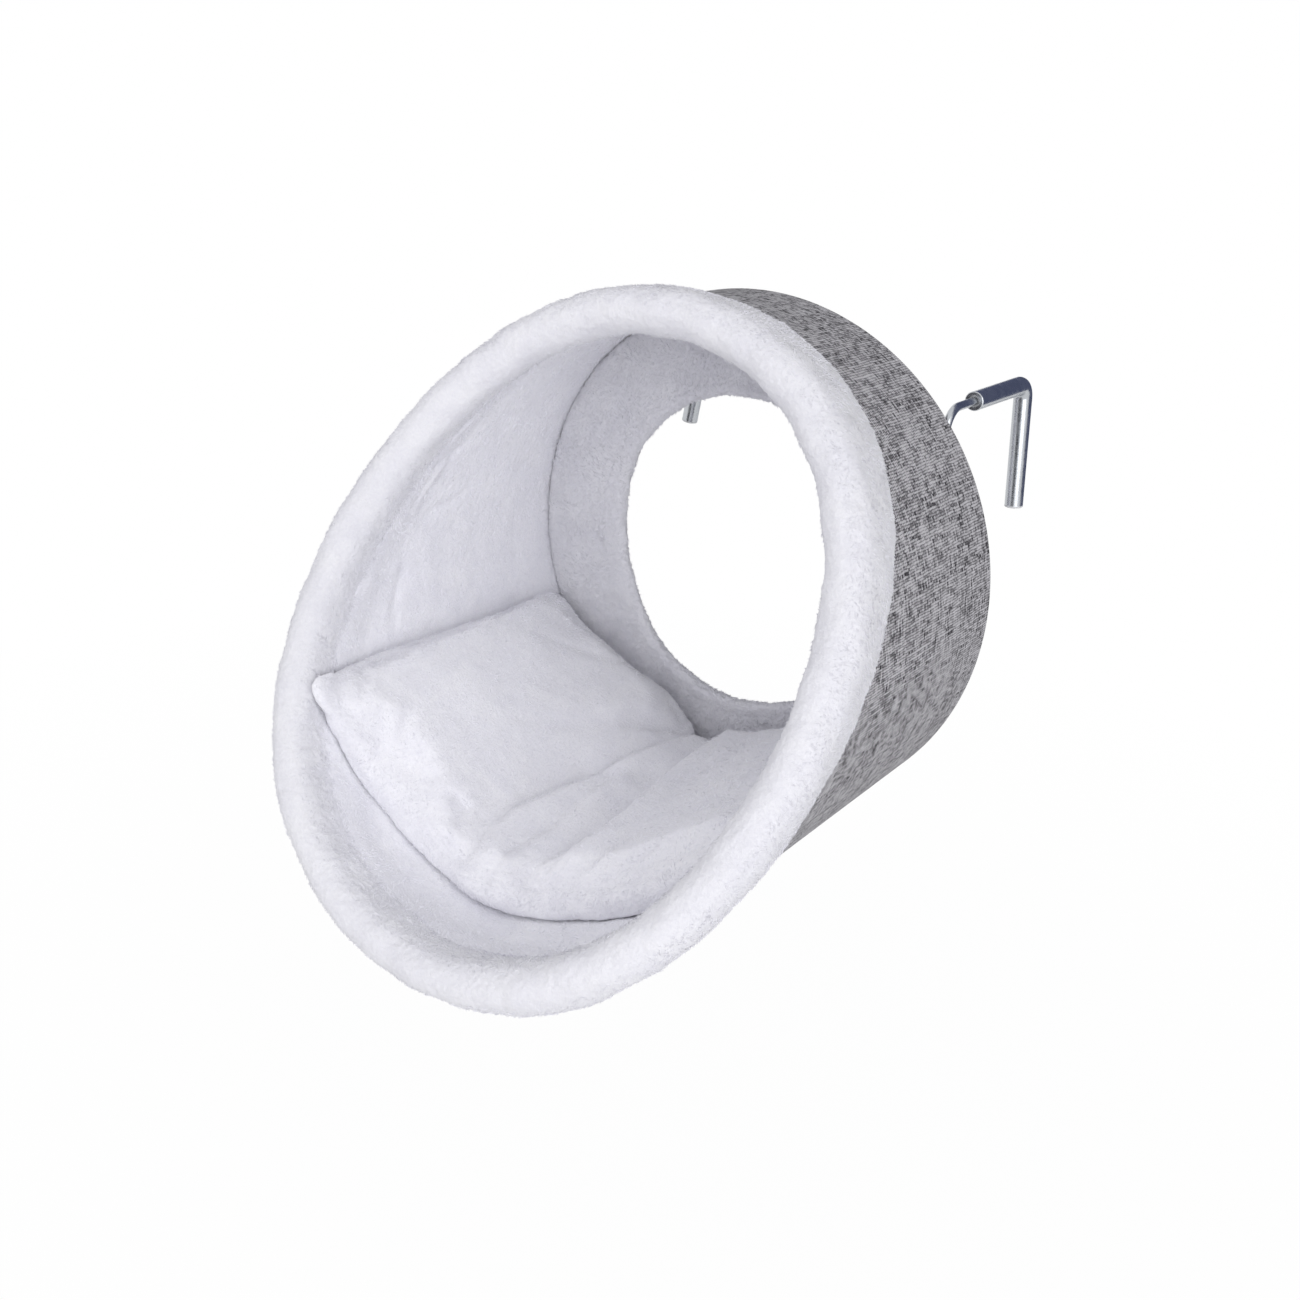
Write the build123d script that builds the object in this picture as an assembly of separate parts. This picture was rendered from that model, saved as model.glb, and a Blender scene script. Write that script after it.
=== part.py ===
from build123d import *
import os
from math import cos, degrees, hypot, radians, sin, sqrt

# Radiator cat cave: a plush-lined tube bed, hung on a radiator by two telescopic steel hooks.
# Millimetres. +X is to the right, +Y goes back to the radiator and +Z is up. The origin is on
# the tube's axis, in the plane of the back face. A depth is measured forwards from that plane.

# Tube wall, from the outside in
tube_radius = 175.0
cover_thickness = 1.0
board_thickness = 3.0
lining_thickness = 3.7

# Slanted front edge: its depth at the roof and at the floor, and how far its side view bows
edge_depth_top = 107.7
edge_depth_bottom = 304.9
edge_bow = 21.6

# Back wall, from the back forwards, and the round hole in it
back_board_thickness = 6.0
back_lining_thickness = 4.0
back_ring_width = 60.5
edging_thickness = 4.0

# Stuffed roll round the front edge, and its plush collar outside the tube
roll_radius = 15.3
roll_plush = 3.5
roll_fit = 0.5
roll_seam_angle = 12.0
roll_quarter_spans = 4
collar_length = 40.3
collar_thickness = 3.0
layer_gap = 0.5

# Staples that hold the back board in the tube, sunk into the board
staple_count = 12
staple_crown = 10.0
staple_leg = 9.0
staple_wire = 0.7
staple_sink = 0.15

# Loose cushion, bent to the floor of the tube
cushion_half_angle = 65.0
cushion_depth = 262.0
cushion_crown = 46.0
cushion_cloth = 1.6
cushion_back_gap = 3.0
cushion_floor_gap = 0.5
cushion_side_lift = 17.0
cushion_edge_bulge = 5.0
# Sections from the left side to the right: angle, front depth, lift, crown and edge, as shares
cushion_shares = [
    (-1.00, 1.000, 1.00, 0.24, 0.70),
    (-0.72, 0.925, 0.35, 0.92, 1.00),
    (-0.38, 0.888, 0.05, 1.00, 1.00),
    (0.00, 0.880, 0.00, 0.76, 1.00),
    (0.38, 0.865, 0.05, 1.00, 1.00),
    (0.72, 0.850, 0.35, 0.92, 1.00),
    (1.00, 0.870, 1.00, 0.24, 0.70),
]
cushion_edge = 14.0
cushion_shoulder = 52.0
shoulder_share = 0.84

# Hook rods, bent from round bar. The gap is from the upper clip's corner to the back board's edge
hook_edge_gap = 7.2
rod_radius = 2.7
rod_height = 125.4
rod_bend_radius = 13.0
rod_tip_reach = 84.0
rod_foot_height = 18.0
rod_foot_length = 24.0
rod_foot_bend = 9.0

# Hook tubes, which slide and turn on the rods
hook_tube_radius = 6.1
hook_tube_wall = 1.5
mouth_lip_radius = 3.9
mouth_lip_length = 1.2
mouth_reach = 38.6
leg_reach = 119.9
leg_length = 82.3
leg_lean = radians(6.0)
hook_bend_radius = 9.5
mouth_chamfer = 0.5
slide_fit = 0.05

# Guide bushes and end plugs
bush_length = 14.0
bush_play = 0.3
plug_length = 10.0
plug_head = 1.4
plug_round = 0.7

# Saddle clips that hold each rod against the back, and their screws and tee nuts
clip_heights = {"upper": 80.0, "lower": 40.0}
clip_thickness = 1.2
clip_width = 12.0
clip_half_length = 14.5
clip_hole_offset = 9.6
clip_corner = 3.0
screw_radius = 2.0
screw_length = 8.6
screw_head_radius = 3.5
screw_head_height = 2.2
screw_head_round = 0.8
recess_length = 4.2
recess_width = 0.9
recess_depth = 1.2
nut_barrel_radius = 2.9
nut_barrel_length = 5.0
nut_flange_radius = 6.5
nut_flange_thickness = 0.9
thread_gap = 0.05
hole_gap = 0.2

# One named overrun serves all cuts
overrun = 5.0

board_outer = tube_radius - cover_thickness
board_inner = board_outer - board_thickness
cover_radius = (board_outer + tube_radius) / 2
lining_inner = board_inner - lining_thickness
rim_centre_radius = (board_outer + lining_inner) / 2
roll_inner_radius = roll_radius - roll_plush
back_board_front = cover_thickness + back_board_thickness
back_lining_front = back_board_front + back_lining_thickness
hole_radius = lining_inner - back_ring_width
board_hole_radius = hole_radius + edging_thickness
hook_bore = hook_tube_radius - hook_tube_wall
leg_spread = leg_length * sin(leg_lean)
leg_end = rod_height - leg_length * cos(leg_lean)
clip_top = clip_heights["upper"] + clip_width / 2
hook_half_spacing = sqrt(board_inner ** 2 - clip_top ** 2) - clip_half_length - hook_edge_gap
sides = {"left": -1, "right": 1}


def slab(radius, back, front):
    """A round slab across the tube, from one depth to another."""
    return extrude(Plane.XZ.offset(back) * Circle(radius), amount=front - back)


def ring(inner, outer, back, front):
    """A ring on the tube's axis, from one depth to another."""
    return slab(outer, back, front) - slab(inner, back - overrun, front + overrun)


def edge_depth(height_share):
    """Depth of the slanted edge at a height, given as a share of the roll's centre radius."""
    middle = (edge_depth_bottom + edge_depth_top) / 2
    half = (edge_depth_bottom - edge_depth_top) / 2
    return middle - half * height_share - edge_bow * (height_share - height_share ** 3)


def front_space(radius, setback, widening=0):
    """Everything in front of the slanted edge as laid on a wall of this radius.

    The edge is moved back by setback, and by widening more at mid height.
    """
    reach = tube_radius + roll_radius
    span = reach / radius
    middle = (edge_depth_bottom + edge_depth_top) / 2 - setback - widening
    slope = (edge_depth_bottom - edge_depth_top) / 2 + edge_bow
    line_shares = (-1, -1 / 3, 1 / 3, 1)
    square_shares = (1, -1 / 3, -1 / 3, 1)
    cube_shares = (-1, 1, -1, 1)
    side_view = []
    for line_share, square_share, cube_share in zip(line_shares, square_shares, cube_shares):
        depth = middle - slope * span * line_share + widening * span ** 2 * square_share
        depth = depth + edge_bow * span ** 3 * cube_share
        side_view.append((-depth, reach * line_share))
    front = -(edge_depth_bottom + collar_length + reach)
    outline = Bezier(*side_view) + Polyline(side_view[-1], (front, reach), (front, -reach), side_view[0])
    return extrude(Plane.YZ * make_face(outline), amount=reach, both=True)


def roll_space(radius):
    """Everything in front of the back of the roll, on a wall of this radius."""
    slope = ((edge_depth_bottom - edge_depth_top) / 2 + edge_bow) / rim_centre_radius
    return front_space(radius, roll_radius + layer_gap, roll_radius * (hypot(1, slope) - 1))


def rim_point(angle):
    """A point on the roll's centre line, at an angle above the level."""
    height_share = sin(radians(angle))
    across = rim_centre_radius * cos(radians(angle))
    return Vector(across, -edge_depth(height_share), rim_centre_radius * height_share)


def roll_plane(angle):
    """The plane square to the roll's centre line, its x direction away from the tube's axis."""
    small_turn = 1 / 100
    along = rim_point(angle + small_turn) - rim_point(angle - small_turn)
    outward = Vector(cos(radians(angle)), 0, sin(radians(angle)))
    return Plane(origin=rim_point(angle), x_dir=outward, z_dir=along.normalized())


def three_arcs(radius, start_angle, end_angle):
    """A round line from one angle to another in three arcs."""
    turn = (end_angle - start_angle) / 6
    points = []
    for step in range(7):
        angle = radians(start_angle + turn * step)
        points.append((radius * cos(angle), radius * sin(angle)))
    return [ThreePointArc(*points[step:step + 3]) for step in (0, 2, 4)]


def roll_half(section):
    """The right half of the roll as a loft through sections from the floor to the roof."""
    turn = 90 / roll_quarter_spans
    steps = range(-roll_quarter_spans, roll_quarter_spans + 1)
    return loft([roll_plane(turn * step) * section for step in steps])


def core_section():
    return make_face(three_arcs(roll_inner_radius - roll_fit, 90, 450))


def plush_section():
    """The plush skin, open at the back of the roll where its edges are sewn in."""
    start = 90 + roll_seam_angle
    end = 450 - roll_seam_angle
    outer = three_arcs(roll_radius, start, end)
    inner = three_arcs(roll_inner_radius, start, end)
    ends = [Line(outer[-1] @ 1, inner[-1] @ 1), Line(outer[0] @ 0, inner[0] @ 0)]
    return make_face(outer + inner + ends)


def both_halves(half):
    """A right half joined with its mirror image."""
    return half + half.mirror(Plane.YZ)


def tube_wall(inner, outer, back):
    """A layer of the tube, from a depth to well in front of the slanted edge."""
    return ring(inner, outer, back, edge_depth_bottom + roll_radius)


def wall_behind_roll(inner, outer, back):
    """A layer of the tube, cut off just behind the roll."""
    return tube_wall(inner, outer, back) - roll_space((inner + outer) / 2)


def across_back(x, z, depth):
    """A plane parallel to the back face whose normal points back, at a place on the back."""
    return Plane(origin=(x, -depth, z), x_dir=(-1, 0, 0), z_dir=(0, 1, 0))


def fastener_places():
    """Centres of the clip screws on the back face."""
    places = []
    for side in sides.values():
        for height in clip_heights.values():
            for offset in (-clip_hole_offset, clip_hole_offset):
                places.append((side * hook_half_spacing + offset, height))
    return places


def cut_at_fasteners(part, radius, back, front):
    """A part with round holes through it at every clip screw."""
    for x, z in fastener_places():
        part = part - extrude(across_back(x, z, front) * Circle(radius), amount=front - back)
    return part


def staple(angle):
    """One staple: a crown along the tube's outside and two legs through the wall."""
    middle_depth = cover_thickness + back_board_thickness / 2
    crown = Box(staple_wire, staple_wire, staple_crown)
    leg = Pos(-(staple_leg - staple_wire) / 2, 0, 0) * Box(staple_leg, staple_wire, staple_wire)
    shift = (staple_crown - staple_wire) / 2
    whole = crown + Pos(0, 0, shift) * leg + Pos(0, 0, -shift) * leg
    outward = board_outer - staple_wire / 2 - staple_sink
    return Rot(0, -angle, 0) * (Pos(outward, -middle_depth, 0) * whole)


def staples():
    """Staples round the back board, halfway between the even steps."""
    turn = 360 / staple_count
    return [staple(turn * (step + 1 / 2)) for step in range(staple_count)]


def cushion_section(shares, inset):
    """One radial section of the cushion: flat side to the wall, crowned side to the axis."""
    angle_share, depth_share, lift_share, crown_share, edge_share = shares
    floor = lining_inner - cushion_floor_gap - inset
    half_angle = cushion_half_angle - degrees(inset / floor)
    angle = radians(half_angle * angle_share - 90)
    front_floor = floor - cushion_side_lift * lift_share
    back = back_lining_front + cushion_back_gap + cushion_edge_bulge * edge_share + inset
    front = cushion_depth * depth_share - cushion_edge_bulge * edge_share - inset
    edge = cushion_edge * edge_share - 2 * inset
    crown = cushion_crown * crown_share - 2 * inset
    shoulder = edge + (crown - edge) * shoulder_share
    run = (front - back) / (cushion_depth - back) * cushion_shoulder
    bulge = cushion_edge_bulge * edge_share
    back_low = (back, floor)
    back_high = (back, floor - edge)
    front_low = (front, front_floor)
    front_high = (front, front_floor - edge)
    drop = (floor - front_floor) / (front - back)

    def top(depth, height):
        return (depth, floor - drop * (depth - back) - height)

    back_shoulder = top(back + run, shoulder)
    front_shoulder = top(front - run, shoulder)
    rise = edge + (shoulder - edge) * shoulder_share
    outline = [
        Line(back_low, front_low),
        ThreePointArc(front_low, (front + bulge, front_floor - edge / 2), front_high),
        ThreePointArc(front_high, top(front - run / 3, rise - (shoulder - edge) / 4), front_shoulder),
        ThreePointArc(front_shoulder, top((front + back) / 2, crown), back_shoulder),
        ThreePointArc(back_shoulder, top(back + run / 3, rise - (shoulder - edge) / 4), back_high),
        ThreePointArc(back_high, (back - bulge, floor - edge / 2), back_low),
    ]
    section = Plane(origin=(0, 0, 0), x_dir=(0, -1, 0), z_dir=(-sin(angle), 0, cos(angle)))
    return section * make_face(outline)


def cushion_form(inset):
    """The cushion as a loft through its radial sections, drawn in by inset."""
    return loft([cushion_section(shares, inset) for shares in cushion_shares])


def rod(side):
    """A hook rod: foot, upright against the back, bend and level run into the tube."""
    x = side * hook_half_spacing
    path = FilletPolyline(
        (x + side * rod_foot_length, rod_radius, rod_foot_height),
        (x, rod_radius, rod_foot_height),
        (x, rod_radius, rod_height),
        (x, rod_tip_reach, rod_height),
        radius=[rod_foot_bend, rod_bend_radius],
    )
    return sweep(Plane(path @ 0, z_dir=path % 0) * Circle(rod_radius), path=path)


def leg_foot(side):
    """The low end of a hook's leg, which hangs a little outwards."""
    return (side * (hook_half_spacing + leg_spread), leg_reach, leg_end)


def hook_run(side, radius, start):
    """A round bar along the hook tube, from a reach behind the back face to the leg's end."""
    x = side * hook_half_spacing
    path = FilletPolyline(
        (x, start, rod_height),
        (x, leg_reach, rod_height),
        leg_foot(side),
        radius=hook_bend_radius,
    )
    return sweep(Plane(path @ 0, z_dir=path % 0) * Circle(radius), path=path)


def along_rod(side, radius, start, end):
    """A round bar on the rod's level axis."""
    plane = Plane(origin=(side * hook_half_spacing, start, rod_height), z_dir=(0, 1, 0))
    return extrude(plane * Circle(radius), amount=end - start)


def hook_tube(side):
    outside = hook_run(side, hook_tube_radius, mouth_reach)
    mouth = outside.faces().sort_by(Axis.Y)[0]
    outside = chamfer(mouth.edges(), mouth_chamfer)
    bore = hook_run(side, hook_bore, mouth_reach + mouth_lip_length)
    mouth_hole = along_rod(side, mouth_lip_radius, mouth_reach - overrun, mouth_reach + overrun)
    return outside - bore - mouth_hole


def guide_bush(side):
    start = mouth_reach + mouth_lip_length + bush_play
    end = start + bush_length
    body = along_rod(side, hook_bore - slide_fit, start, end)
    return body - along_rod(side, rod_radius + slide_fit, start - overrun, end + overrun)


def end_plug(side):
    """A push-in plug whose head closes the low end of the leg."""
    place = Pos(*leg_foot(side)) * Rot(0, -side * degrees(leg_lean), 0)
    head = Cylinder(hook_tube_radius, plug_head, align=(Align.CENTER, Align.CENTER, Align.MAX))
    head = fillet(head.edges().sort_by(Axis.Z)[0], plug_round)
    stem = Cylinder(hook_bore, plug_length, align=(Align.CENTER, Align.CENTER, Align.MIN))
    return place * (head + stem)


def arch(radius):
    """Section of an arch over the rod, which stands on the back face."""
    upright = Pos(0, -rod_radius / 2) * Rectangle(2 * radius, rod_radius)
    above = Pos(0, (radius - rod_radius) / 2) * Rectangle(2 * radius, radius + rod_radius)
    return (Circle(radius) + upright) & above


def clip(side, height):
    """A saddle clip bent over the rod, with two screwed ears."""
    x = side * hook_half_spacing
    plane = Plane(origin=(x, rod_radius, height - clip_width / 2), z_dir=(0, 0, 1))
    ears = Pos(0, clip_thickness / 2 - rod_radius) * Rectangle(2 * clip_half_length, clip_thickness)
    strip = extrude(plane * (arch(rod_radius + clip_thickness) + ears), amount=clip_width)
    corners = [edge for edge in strip.edges().filter_by(Axis.Y)
               if abs(edge.center().X - x) > clip_hole_offset]
    strip = fillet(corners, clip_corner)
    strip = strip - extrude(plane * arch(rod_radius), amount=clip_width)
    for offset in (-clip_hole_offset, clip_hole_offset):
        hole = across_back(x + offset, height, overrun) * Circle(screw_radius + hole_gap)
        strip = strip - extrude(hole, amount=2 * overrun)
    return strip


def screw(x, z):
    """A pan-head screw with a cross recess, its head on the clip's ear."""
    seat = across_back(x, z, -clip_thickness)
    head = extrude(seat * Circle(screw_head_radius), amount=screw_head_height)
    head = fillet(head.edges().sort_by(Axis.Y)[-1], screw_head_round)
    shank = extrude(seat * Circle(screw_radius), amount=-screw_length)
    recess = Rectangle(recess_length, recess_width) + Rectangle(recess_width, recess_length)
    floor = across_back(x, z, -(clip_thickness + screw_head_height - recess_depth))
    return head + shank - extrude(floor * recess, amount=recess_depth + overrun)


def tee_nut(x, z):
    """A tee nut pressed into the back board from inside."""
    flange_plane = across_back(x, z, back_board_front + nut_flange_thickness)
    flange = extrude(flange_plane * Circle(nut_flange_radius), amount=nut_flange_thickness)
    length = nut_flange_thickness + nut_barrel_length
    barrel = extrude(flange_plane * Circle(nut_barrel_radius), amount=length)
    bore_plane = across_back(x, z, back_board_front + nut_flange_thickness + overrun)
    bore = extrude(bore_plane * Circle(screw_radius + thread_gap), amount=length + 2 * overrun)
    return flange + barrel - bore


def wall_nodes():
    """The tube wall and the back wall."""
    through = back_lining_front + overrun
    nut_hole = nut_barrel_radius + thread_gap
    shank_hole = screw_radius + hole_gap
    pocket = nut_flange_radius + hole_gap
    pocket_front = back_board_front + nut_flange_thickness
    wires = staples()

    board = wall_behind_roll(board_inner, board_outer, cover_thickness)
    cover = tube_wall(board_outer, tube_radius, 0)
    back_board = ring(board_hole_radius, board_inner, cover_thickness, back_board_front)
    back_board = cut_at_fasteners(back_board, nut_hole, -overrun, through)
    back_cover = ring(board_hole_radius, board_outer, 0, cover_thickness)
    back_lining = ring(board_hole_radius, lining_inner, back_board_front, back_lining_front)
    edging = ring(hole_radius, board_hole_radius, 0, back_lining_front)
    rounded = edging.edges().filter_by(GeomType.CIRCLE).group_by(SortBy.RADIUS)[0]
    return {
        "shell_board": board - wires,
        "back_board": back_board - wires,
        "back_staples": Compound(children=wires),
        "outer_cover": cover - front_space(cover_radius, collar_length),
        "wall_lining": wall_behind_roll(lining_inner, board_inner, back_board_front),
        "back_cover": cut_at_fasteners(back_cover, shank_hole, -overrun, through),
        "back_lining": cut_at_fasteners(back_lining, pocket, 0, pocket_front),
        "hole_edging": fillet(rounded, edging_thickness / 2),
    }


def rim_nodes():
    """The stuffed roll round the front edge and its plush collar."""
    collar = wall_behind_roll(board_outer, board_outer + collar_thickness, cover_thickness)
    return {
        "rim_core": both_halves(roll_half(core_section())),
        "rim_cover": both_halves(roll_half(plush_section())),
        "rim_collar": collar & front_space(cover_radius, collar_length - layer_gap),
    }


def cushion_nodes():
    filling = cushion_form(cushion_cloth)
    return {"cushion_cover": cushion_form(0) - filling, "cushion_filling": filling}


def hook_nodes():
    nodes = {}
    for name, side in sides.items():
        nodes[name + "_hook_rod"] = rod(side)
        nodes[name + "_hook_tube"] = hook_tube(side)
        nodes[name + "_guide_bush"] = guide_bush(side)
        nodes[name + "_end_plug"] = end_plug(side)
        for level, height in clip_heights.items():
            nodes[name + "_" + level + "_clip"] = clip(side, height)
    nodes["clip_screws"] = Compound(children=[screw(x, z) for x, z in fastener_places()])
    nodes["tee_nuts"] = Compound(children=[tee_nut(x, z) for x, z in fastener_places()])
    return nodes


def main():
    os.makedirs("parts", exist_ok=True)
    for nodes in (wall_nodes(), rim_nodes(), cushion_nodes(), hook_nodes()):
        for name, shape in nodes.items():
            export_step(shape, "parts/" + name + ".step")


main()
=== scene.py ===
import math
from functools import partial

import bmesh
import bpy
import numpy as np
from mathutils import Matrix, Vector, noise


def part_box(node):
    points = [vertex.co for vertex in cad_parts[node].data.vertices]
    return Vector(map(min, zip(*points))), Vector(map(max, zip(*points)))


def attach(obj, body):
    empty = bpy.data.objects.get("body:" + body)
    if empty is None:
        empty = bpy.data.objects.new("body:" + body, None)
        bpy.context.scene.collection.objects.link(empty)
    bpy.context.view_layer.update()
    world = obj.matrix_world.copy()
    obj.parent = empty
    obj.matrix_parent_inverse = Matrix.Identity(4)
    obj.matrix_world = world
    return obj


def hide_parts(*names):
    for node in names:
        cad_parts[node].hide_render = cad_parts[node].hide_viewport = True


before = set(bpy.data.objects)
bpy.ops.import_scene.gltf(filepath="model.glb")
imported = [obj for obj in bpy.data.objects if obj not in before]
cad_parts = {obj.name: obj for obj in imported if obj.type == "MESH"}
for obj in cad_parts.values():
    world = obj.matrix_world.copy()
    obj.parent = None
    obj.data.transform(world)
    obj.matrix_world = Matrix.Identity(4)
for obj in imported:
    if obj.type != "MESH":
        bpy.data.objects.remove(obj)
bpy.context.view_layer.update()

# Plush and linen looks for the radiator cat cave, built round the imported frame. Metres. The tube's
# axis is Y, which goes back to the radiator, and a depth is measured forwards from the back face.

bl_info = {
    "name": "Radiator cat cave",
    "version": (1, 0, 0),
    "blender": (4, 5, 0),
    "location": "3D View > Sidebar > Cat cave",
    "description": "Builds the plush, linen, cushion and hook finishes of a radiator cat cave",
    "category": "Object",
}


def prop(kind, name, description, default, **more):
    """A number or colour from 0 to 1 that a user can change."""
    return kind(name=name, description=description, default=default, min=0.0, max=1.0, **more)


length = partial(prop, bpy.props.FloatProperty, unit="LENGTH")
share = partial(prop, bpy.props.FloatProperty, subtype="FACTOR")
colour = partial(prop, bpy.props.FloatVectorProperty, size=3, subtype="COLOR")


class CatCaveSizes(bpy.types.PropertyGroup):
    """Sizes of the bed, in the frame's metres."""

    roll_radius: length("Roll radius", "Radius of the stuffed roll under its pile", 0.0141)
    edge_bow: length("Edge bow", "How far the slanted edge bows in side view", 0.0216)
    collar_length: length("Collar length", "From the roll's middle back to the linen", 0.0355)
    slope_length: length("Slope length", "How far the plush falls from the roll to the wall", 0.046)
    crease_depth: length("Crease depth", "Depth of the soft crease behind the roll", 0.0010)
    crease_place: length("Crease place", "From the roll's middle back to the crease", 0.0150)
    collar_lap: length("Collar lap", "How far the collar's end lies over the linen", 0.0016)
    lip_bulge: length("Lip bulge", "How far the hole's lip sags inwards on the left", 0.0095)
    sleeve_slack: length("Sleeve slack", "How far the linen stands off unevenly", 0.0005)
    weave_pitch: length("Weave pitch", "Distance between two linen threads", 0.0017)
    pile_size: length("Pile size", "Width of one clump of the plush pile", 0.0026)
    pile_height: length("Pile height", "Height of the clumps of the plush pile", 0.0009)
    lump_size: length("Lump size", "Width of the soft lumps in stuffed plush", 0.021)
    lump_height: length("Lump height", "Height of the soft lumps in stuffed plush", 0.0016)
    tuft_length: length("Tuft length", "Length of the loose tufts of pile", 0.0021)
    tuft_width: length("Tuft width", "Width of the loose tufts of pile", 0.0006)
    cushion_crown: length("Cushion crown", "Thickness of the cushion at its fullest", 0.047)
    cushion_voxel: length("Cushion mesh size", "Mesh size that the cushion is inflated at", 0.0042)
    cushion_swell: length("Cushion swell", "Most that the pressure moves the cloth", 0.006)
    stitch_pitch: length("Stitch pitch", "Distance between two stitches of a seam", 0.0046)


class CatCaveFinish(bpy.types.PropertyGroup):
    """Colours and finishes of the bed."""

    plush: colour("Plush", "Colour of the pale plush", (0.930, 0.926, 0.965))
    # Painted shade of the plush, mixed in down in its pile and in brushed patches
    plush_shade: colour("Plush shade", "Colour down in the pile", (0.795, 0.790, 0.862))
    linen_light: colour("Light thread", "Lightest thread of the grey linen", (0.55, 0.54, 0.57))
    linen_dark: colour("Dark thread", "Darkest thread of the grey linen", (0.022, 0.019, 0.025))
    zinc: colour("Zinc", "Colour of the zinc plating", (0.56, 0.58, 0.61))
    board: colour("Board", "Colour of the fibreboard", (0.36, 0.23, 0.12))
    foam: colour("Foam", "Colour of the foam roll", (0.86, 0.82, 0.66))
    filling: colour("Filling", "Colour of the fibre filling", (0.88, 0.88, 0.88))
    plastic: colour("Plastic", "Colour of the bushes and plugs", (0.72, 0.73, 0.75))
    zinc_roughness: share("Zinc roughness", "Roughness of the zinc plating", 0.25)
    plush_sheen: share("Plush sheen", "Strength of the plush's soft sheen", 0.35)


def sizes():
    return bpy.context.scene.cat_cave_sizes


def finish():
    return bpy.context.scene.cat_cave_finish


# Painted shade: how far the one plush colour is darkened in each part, standing in for the light
# that reaches it
PLUSH_PAINTED_SHADE = {"Lining": 1.0, "Roll": 0.84, "Cushion": 0.93, "Ring": 0.83}
# How much of the lumps and of the pile the plush of each part shows
PLUSH_RELIEF = {
    "Lining": (0.6, 1.1), "Roll": (1.0, 1.2), "Cushion": (0.35, 0.75), "Ring": (0.5, 1.9),
}
# Tufts on a square metre of each part, and how they lie
TUFT_DENSITY = {"Lining": 420000, "Roll": 260000, "Cushion": 420000, "Ring": 420000}
TUFT_LEAN, NAP_SIZE = 1.25, 0.03

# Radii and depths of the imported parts
ROLL_BOX, EDGING_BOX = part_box("rim_cover"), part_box("hole_edging")
SLEEVE_RADIUS, COLLAR_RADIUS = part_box("outer_cover")[1].x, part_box("rim_collar")[1].x
WALL_OUTSIDE, WALL_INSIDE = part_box("wall_lining")[1].x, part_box("back_lining")[1].x
RING_BACK, RING_FRONT = -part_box("back_lining")[1].y, -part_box("back_lining")[0].y
HOLE_RADIUS = EDGING_BOX[1].x
ROLL_RADIUS = 0.0153
CENTRE_RADIUS = ROLL_BOX[1].x - ROLL_RADIUS
# Least and most depth of the roll's centre line
EDGE_TOP = -ROLL_BOX[1].y + ROLL_RADIUS
EDGE_BOTTOM = -ROLL_BOX[0].y - ROLL_RADIUS
EDGE_MIDDLE, EDGE_HALF = (EDGE_BOTTOM + EDGE_TOP) / 2, (EDGE_BOTTOM - EDGE_TOP) / 2
# Behind the roll its plush and the lining lap past the crease and sink under each other
CREASE_WIDTH, CREASE_LAP, CREASE_SINK, CREASE_EASE = 0.0055, 0.007, 0.0035, 0.006
LINEN_THICKNESS = 0.0009
# How many points round the tube the closed pieces have
FINEST_ROUND, FINE_ROUND, LINEN_ROUND, COARSE_ROUND = 900, 620, 480, 240


def edge_depth(angle):
    """Depth of the roll's centre line at an angle above the level."""
    height = np.sin(angle)
    return EDGE_MIDDLE - EDGE_HALF * height - sizes().edge_bow * (height - height ** 3)


def edge_stretch(angle):
    """How much longer a cut along the axis through the roll is than one square to it."""
    height = np.sin(angle)
    slope = (EDGE_HALF + sizes().edge_bow * (1 - 3 * height ** 2)) * np.cos(angle)
    return np.sqrt(1 + (slope / CENTRE_RADIUS) ** 2)


def at(radius, angle, depth):
    """Points at a radius from the tube's axis, an angle above the level and a depth."""
    return np.stack(np.broadcast_arrays(
        radius * np.cos(angle), -depth, radius * np.sin(angle)), axis=-1)


def linked(name, data):
    """A new object in the scene."""
    obj = bpy.data.objects.new(name, data)
    bpy.context.scene.collection.objects.link(obj)
    return obj


def mesh_object(name, points, faces=(), edges=()):
    """A new object in the scene with a mesh of these points, faces and edges."""
    mesh = bpy.data.meshes.new(name)
    mesh.from_pydata(np.asarray(points).tolist(), list(edges), np.asarray(faces).tolist())
    return linked(name, mesh)


def smooth_faces(mesh):
    mesh.polygons.foreach_set("use_smooth", np.ones(len(mesh.polygons), bool))


def grid_object(name, points, uv=None):
    """A closed mesh of four-sided faces through a grid of points that wraps both ways.

    uv has one more row and column than points, so that the wrapped map doesn't fold back.
    """
    rows, columns = points.shape[:2]
    row, column = (part.ravel() for part in np.indices((rows, columns)))
    corners = [(row, column), (row + 1, column), (row + 1, column + 1), (row, column + 1)]
    faces = np.stack([(r % rows) * columns + c % columns for r, c in corners], axis=1)
    obj = mesh_object(name, points.reshape(-1, 3), faces)
    if uv is not None:
        flat = np.stack([uv[r, c] for r, c in corners], axis=1)
        layer = obj.data.uv_layers.new(name="cloth")
        layer.data.foreach_set("uv", flat.astype(np.float32).ravel())
    smooth_faces(obj.data)
    return obj


def face_outwards(obj, join=0.0):
    """Joins points closer than join, and turns the faces of a closed mesh outwards."""
    work = bmesh.new()
    work.from_mesh(obj.data)
    if join:
        bmesh.ops.remove_doubles(work, verts=work.verts, dist=join)
    bmesh.ops.recalc_face_normals(work, faces=work.faces)
    work.to_mesh(obj.data)
    work.free()


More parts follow.
